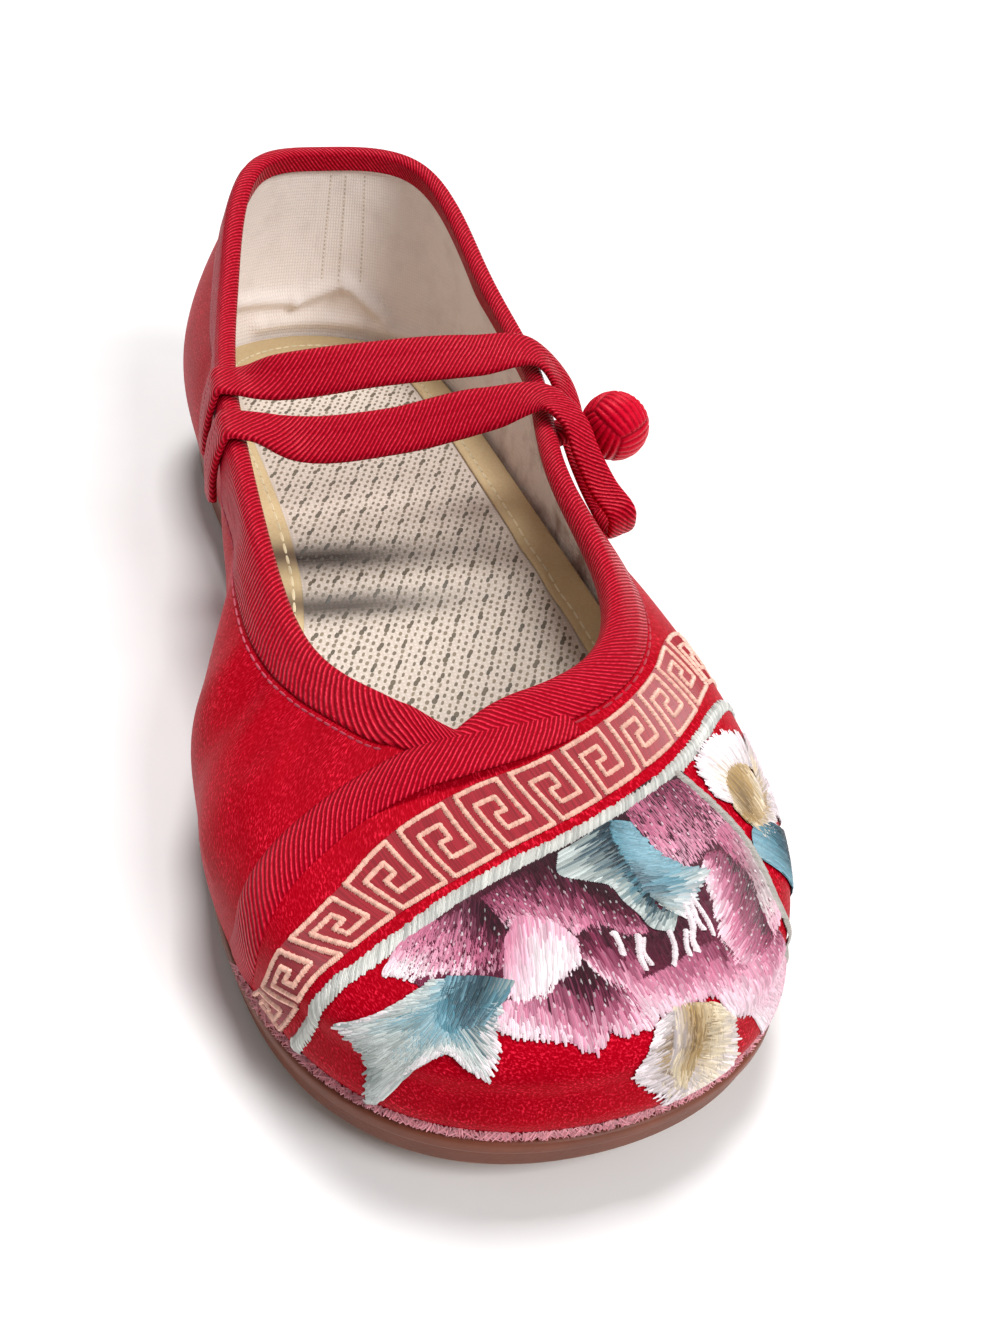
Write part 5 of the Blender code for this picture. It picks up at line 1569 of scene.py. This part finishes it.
# Button stem
# A short stitched stub of the same red twill, sewn square to the outer binding. It narrows and bends
# towards the knot that it carries.
KNOT_CENTRE = (46.0, 27.2, 40.3)
KNOT_RADIUS = 7.0
STEM_TURN = 0.745
STEM_DROP = 4.5
STEM_BEND = 3.0
STEM_BASE_HALF = (3.2, 1.9)
STEM_NECK_HALF = (2.2, 1.9)
STEM_INTO_KNOT = 0.9
stem_at = np.array([STEM_TURN])
stem_height = height_below_edge(stem_at, STEM_DROP)
stem_square = wall_normal(stem_at, stem_height)[0]
stem_start = off_wall(stem_at, stem_height, np.array([GAP + TAPE]))[0]
stem_bend = stem_start + STEM_BEND * stem_square
stem_to_knot = STEM_INTO_KNOT * KNOT_RADIUS * unit(stem_bend - np.array(KNOT_CENTRE))
stem_finish = np.array(KNOT_CENTRE) + stem_to_knot
stem_share = np.linspace(0.0, 1.0, 60)[:, None]
stem_rest = 1 - stem_share
stem_path = stem_rest**2 * stem_start + 2 * stem_share * stem_rest * stem_bend + stem_share**2 * stem_finish
stem_run = unit(np.gradient(stem_path, axis=0))
stem_along = unit(wall_slopes(stem_at, stem_height)[0])[0]
stem_wide = unit(stem_along - (stem_run @ stem_along)[:, None] * stem_run)
stem_half = np.array(STEM_BASE_HALF) + stem_share * (np.array(STEM_NECK_HALF) - np.array(STEM_BASE_HALF))
stem_slant = np.full(len(stem_path), TWILL_SLANT)
stem_ring, stem_place = tape_tube(
    stem_path, stem_wide, np.cross(stem_run, stem_wide), stem_half[:, 0], stem_half[:, 1], stem_slant)
add_tape("twill_button_stem", stem_ring, stem_place, "button_stem")

# Ball knot
# A ball tied from red satin cord on the end of the stem, which the strap's loop is hooked over. Parallel
# strands pass over each other in six patches, like a basket.
KNOT_STRAND = 1.6
KNOT_FURROW = 0.4
KNOT_NOD = 0.5
KNOT_TWIST = 0.6
KNOT_POLE = 0.02
KNOT_ROWS = 90
KNOT_COLUMNS = 150
PATCH_SUNK = 0.25
PATCH_ROUND = 4.0
knot_polar = np.linspace(KNOT_POLE, np.pi - KNOT_POLE, KNOT_ROWS)
knot_azimuth = np.linspace(0.0, 2.0 * np.pi, KNOT_COLUMNS, endpoint=False)
polar, azimuth = np.meshgrid(knot_polar, knot_azimuth, indexing="ij")
knot_level = np.sin(polar)
knot_out = np.stack([knot_level * np.cos(azimuth), knot_level * np.sin(azimuth), np.cos(polar)], axis=-1)
knot_turn = Matrix.Rotation(KNOT_NOD, 3, "X") @ Matrix.Rotation(KNOT_TWIST, 3, "Z")
knot_turned = knot_out @ np.array(knot_turn)
knot_size = np.abs(knot_turned)
knot_face = knot_size.argmax(axis=-1)
knot_next = np.take_along_axis(knot_turned, ((knot_face + 1) % 3)[..., None], axis=-1)[..., 0]
knot_other = np.take_along_axis(knot_turned, ((knot_face + 2) % 3)[..., None], axis=-1)[..., 0]
knot_biggest = knot_size.max(axis=-1)
knot_walk = KNOT_RADIUS * np.arctan2(knot_next, knot_biggest)
strand_wave = np.abs(np.sin(np.pi * knot_walk / KNOT_STRAND + np.pi / 2.0))
patch_edge = 1.0 - np.maximum(np.abs(knot_next), np.abs(knot_other)) / knot_biggest
knot_strand = np.sqrt(strand_wave) * ease(PATCH_SUNK + PATCH_ROUND * patch_edge)
knot_radius = KNOT_RADIUS - KNOT_FURROW * (1.0 - knot_strand)
knot_points = np.array(KNOT_CENTRE) + knot_radius[..., None] * knot_out
knot_quads = grid_quads(KNOT_ROWS, KNOT_COLUMNS, join_columns=True)
knot_mesh = build_mesh(
    "woven_ball_knot", knot_points, knot_quads, [ring_ends(knot_points)], marks={"strand": knot_strand})

# Satin cord, twisted red rayon: glossy crowns along the strands, painted shade in the furrows between them
# and small painted glints on the fibres
tied = new_material("red_rayon_cord", {
    "Roughness": 0.42, "IOR": 1.5, "Specular IOR Level": 0.5, "Specular Tint": linear("#ff4656")})
CORD_FIBRE = 0.5
tied_place = add_node(tied, "ShaderNodeTexCoord").outputs["Object"]
tied_strand = add_node(tied, "ShaderNodeAttribute", {"attribute_name": "strand"}).outputs["Fac"]
tied_fibre = add_node(tied, "ShaderNodeTexNoise", inputs={
    "Vector": tied_place, "Scale": 1.0 / (CORD_FIBRE * MM), "Detail": 2.0, "Roughness": 0.6})
# Painted shade darkens the furrows between the strands
tied_furrow_shade = add_node(tied, "ShaderNodeMix", {"data_type": "RGBA"}, {
    FACTOR: tied_strand, FIRST: linear("#780010"), SECOND: linear("#d40028")})
# Painted glints: small paler flecks on the fibres
tied_light = add_node(tied, "ShaderNodeMapRange", inputs={
    "Value": tied_fibre.outputs["Fac"], "From Min": 0.45, "From Max": 0.75, "To Max": 0.6})
tied_colour = add_node(tied, "ShaderNodeMix", {"data_type": "RGBA"}, {
    FACTOR: tied_light.outputs[0], FIRST: tied_furrow_shade.outputs[MIXED], SECOND: linear("#d81c38")})
tied_bump = add_node(tied, "ShaderNodeBump", inputs={
    "Height": tied_fibre.outputs["Fac"], "Strength": 0.4, "Distance": 0.15 * MM})
wire(tied, {"Base Color": tied_colour.outputs[MIXED], "Normal": tied_bump.outputs[0]})
add_piece("woven_ball_knot", knot_mesh, tied, ["knot_button"])

# Seams and frayed edge
# Pink-red stitches hold the binding down, a cream seam joins the lining at the heel, and the raw edge
# of the satin shows as a pinkish fringe where it meets the sole round the toe.
BINDING_STITCH = 2.6
BINDING_THREAD_RISE = 0.22
rng = np.random.default_rng(8)


def stitch_line(turn, to_turn, drop, lift, code, thick):
    """Even stitches a drop below the collar edge, from one turn to another."""
    count = int(abs(to_turn - turn) * GIRTH * COLLAR_SHARE / BINDING_STITCH)
    at = turn + (to_turn - turn) * (np.arange(count)[:, None] + np.linspace(0.12, 0.88, 4)) / count
    heights = height_below_edge(at, drop)
    paths, up = on_satin(at, heights, np.full(at.shape, lift))
    return paths, up, np.full(count, thick), BINDING_THREAD_RISE, dyed(rng, count, code)


add_threads("binding_stitches", [
    stitch_line(0.262, 0.462, 8.0, 0.05, "#c8405a", 0.42),
    stitch_line(0.0, 0.205, 7.7, 0.05, "#b01530", 0.45),
    stitch_line(0.53, 1.0, 7.7, 0.05, "#b01530", 0.45),
], sewing)

SEAM_ROWS = (-6.5, 0.0, 5.0)
SEAM_STITCHES = 26
SEAM_FOOT = 0.34
SEAM_SPAN = 0.56
SEAM_THREAD = 0.5
SEAM_THREAD_RISE = 0.14
SEAM_LIFT = 0.02
seam_share = (np.arange(SEAM_STITCHES)[:, None] + np.linspace(0.15, 0.75, 4)) / SEAM_STITCHES
seam_heights = SEAM_FOOT + SEAM_SPAN * seam_share
seam_wide = np.full(SEAM_STITCHES, SEAM_THREAD)
seam_groups = []
for aside in SEAM_ROWS:
    seam_turns = SEAM_TURN + aside / GIRTH + 0.0 * seam_heights
    seam_in = WALL + puckered(seam_turns, seam_heights) + SEAM_LIFT
    seam_paths = off_wall(seam_turns, seam_heights, -seam_in)
    seam_up = -wall_normal(seam_turns, seam_heights)
    seam_colour = dyed(rng, SEAM_STITCHES, "#dccfbd")
    seam_groups.append((seam_paths, seam_up, seam_wide, SEAM_THREAD_RISE, seam_colour))
add_threads("lining_seam_stitches", seam_groups, sewing)

# The fringe round the toe: its run and its threads' drift in turns, and how far they reach up and out in mm
FRAY_COUNT = 1600
FRAY_TURNS = (0.405, 0.60)
FRAY_REACH = (0.2, 0.8)
FRAY_DRIFT = 0.0018
FRAY_OUT = (0.4, 1.1)
FRAY_FOOT = 0.15
FRAY_DROOP = 1.4
FRAY_THREAD = 0.24
FRAY_THREAD_RISE = 0.12
fray_turns = rng.uniform(*FRAY_TURNS, FRAY_COUNT)[:, None]
fray_reach = rng.uniform(*FRAY_REACH, FRAY_COUNT)[:, None]
fray_drift = rng.normal(0.0, FRAY_DRIFT, FRAY_COUNT)[:, None]
fray_step = np.linspace(0.0, 1.0, 5)[None, :]
fray_out = FRAY_OUT[0] + FRAY_OUT[1] * fray_step * rng.uniform(0.3, 1.0, (FRAY_COUNT, 1))
fray_high = FRAY_FOOT + fray_reach * (1.0 - fray_step)**FRAY_DROOP
fray_paths = feather_ring(fray_turns + fray_drift * fray_step, fray_out[..., None], 0.0)
fray_paths[..., 2] += fray_high
fray_level = outward(np.broadcast_to(fray_turns, fray_high.shape))
fray_up = np.concatenate([fray_level, np.zeros((*fray_high.shape, 1))], axis=-1)
fray_wide = np.full(FRAY_COUNT, FRAY_THREAD)
fray_colour = dyed(rng, FRAY_COUNT, "#e09aa4", 0.30)
add_threads("frayed_satin_edge", [(fray_paths, fray_up, fray_wide, FRAY_THREAD_RISE, fray_colour)], sewing)

# Studio
# A plain pale floor under a soft lamp high behind and a weaker one in front, seen from the photograph's
# place. The camera is turned a little from there to bring the shoe into the middle.
FLOOR_HALF = 1500.0
CAMERA_PLACE = (-63.4, -211.3, 170.1)
CAMERA_YAW = np.radians(5.98)
CAMERA_PITCH = np.radians(36.64)
TURN_RIGHT = 0.218
TURN_DOWN = 0.015
FRAME_HIGH = 1333.0
FOCAL = 1430.0
SENSOR = 36.0
AIR_LIGHT = 0.25

# Paper, matt white: an even pale ground with a faint mottle
paper = new_material("white_paper_floor", {"Roughness": 0.9, "Specular IOR Level": 0.1})
PAPER_MOTTLE = 25.0
paper_place = add_node(paper, "ShaderNodeTexCoord").outputs["Object"]
paper_grain = add_node(paper, "ShaderNodeTexNoise", inputs={
    "Vector": paper_place, "Scale": 1.0 / (PAPER_MOTTLE * MM)})
paper_colour = add_node(paper, "ShaderNodeMix", {"data_type": "RGBA"}, {
    FACTOR: paper_grain.outputs["Fac"], FIRST: linear("#f4f3f2"), SECOND: linear("#fbfbfb")})
wire(paper, {"Base Color": paper_colour.outputs[MIXED]})
floor_mesh = bpy.data.meshes.new("studio_floor")
floor_corners = np.array([(-1.0, -1.0, 0.0), (1.0, -1.0, 0.0), (1.0, 1.0, 0.0), (-1.0, 1.0, 0.0)])
floor_mesh.from_pydata((floor_corners * FLOOR_HALF * MM).tolist(), [], [(0, 1, 2, 3)])
floor_mesh.materials.append(paper)
studio_floor = bpy.data.objects.new("studio_floor", floor_mesh)
bpy.context.scene.collection.objects.link(studio_floor)


def look_along(place, forward, up):
    """World matrix of a camera or lamp at a place in mm, looking forward with this way up."""
    forward = unit(np.asarray(forward, float))
    right = unit(np.cross(forward, up))
    level = np.cross(right, forward)
    matrix = np.eye(4)
    matrix[:3, :3] = np.column_stack([right, level, -forward])
    matrix[:3, 3] = np.asarray(place) * MM
    return Matrix(matrix.tolist())


def add_softbox(name, place, size, watts):
    """Square soft lamp aimed at the shoe's middle."""
    lamp = bpy.data.lights.new(name, "AREA")
    lamp.size = size * MM
    lamp.energy = watts
    box = bpy.data.objects.new(name, lamp)
    box.matrix_world = look_along(place, -np.asarray(place, float), (0.0, 1.0, 0.0))
    bpy.context.scene.collection.objects.link(box)


add_softbox("key_softbox", (200.0, 1000.0, 2500.0), 900.0, 56.0)
add_softbox("fill_softbox", (900.0, -1200.0, 1500.0), 1000.0, 29.0)
world = bpy.data.worlds.new("studio_air")
world.use_nodes = True
world.node_tree.nodes["Background"].inputs["Color"].default_value = (1.0, 1.0, 1.0, 1.0)
world.node_tree.nodes["Background"].inputs["Strength"].default_value = AIR_LIGHT
bpy.context.scene.world = world
bpy.context.scene.view_settings.view_transform = "Standard"

photo_level = np.cos(CAMERA_PITCH)
photo_forward = np.array([
    np.sin(CAMERA_YAW) * photo_level, np.cos(CAMERA_YAW) * photo_level, -np.sin(CAMERA_PITCH)])
photo_right = np.array([np.cos(CAMERA_YAW), -np.sin(CAMERA_YAW), 0.0])
photo_up = np.cross(photo_right, photo_forward)
camera_data = bpy.data.cameras.new("photo_camera")
camera_data.sensor_fit = "VERTICAL"
camera_data.sensor_height = SENSOR
camera_data.lens = SENSOR * FOCAL / FRAME_HIGH
camera_data.clip_start = 0.01
camera = bpy.data.objects.new("photo_camera", camera_data)
camera_forward = photo_forward + TURN_RIGHT * photo_right - TURN_DOWN * photo_up
camera.matrix_world = look_along(CAMERA_PLACE, camera_forward, photo_up)
bpy.context.scene.collection.objects.link(camera)
bpy.context.scene.camera = camera
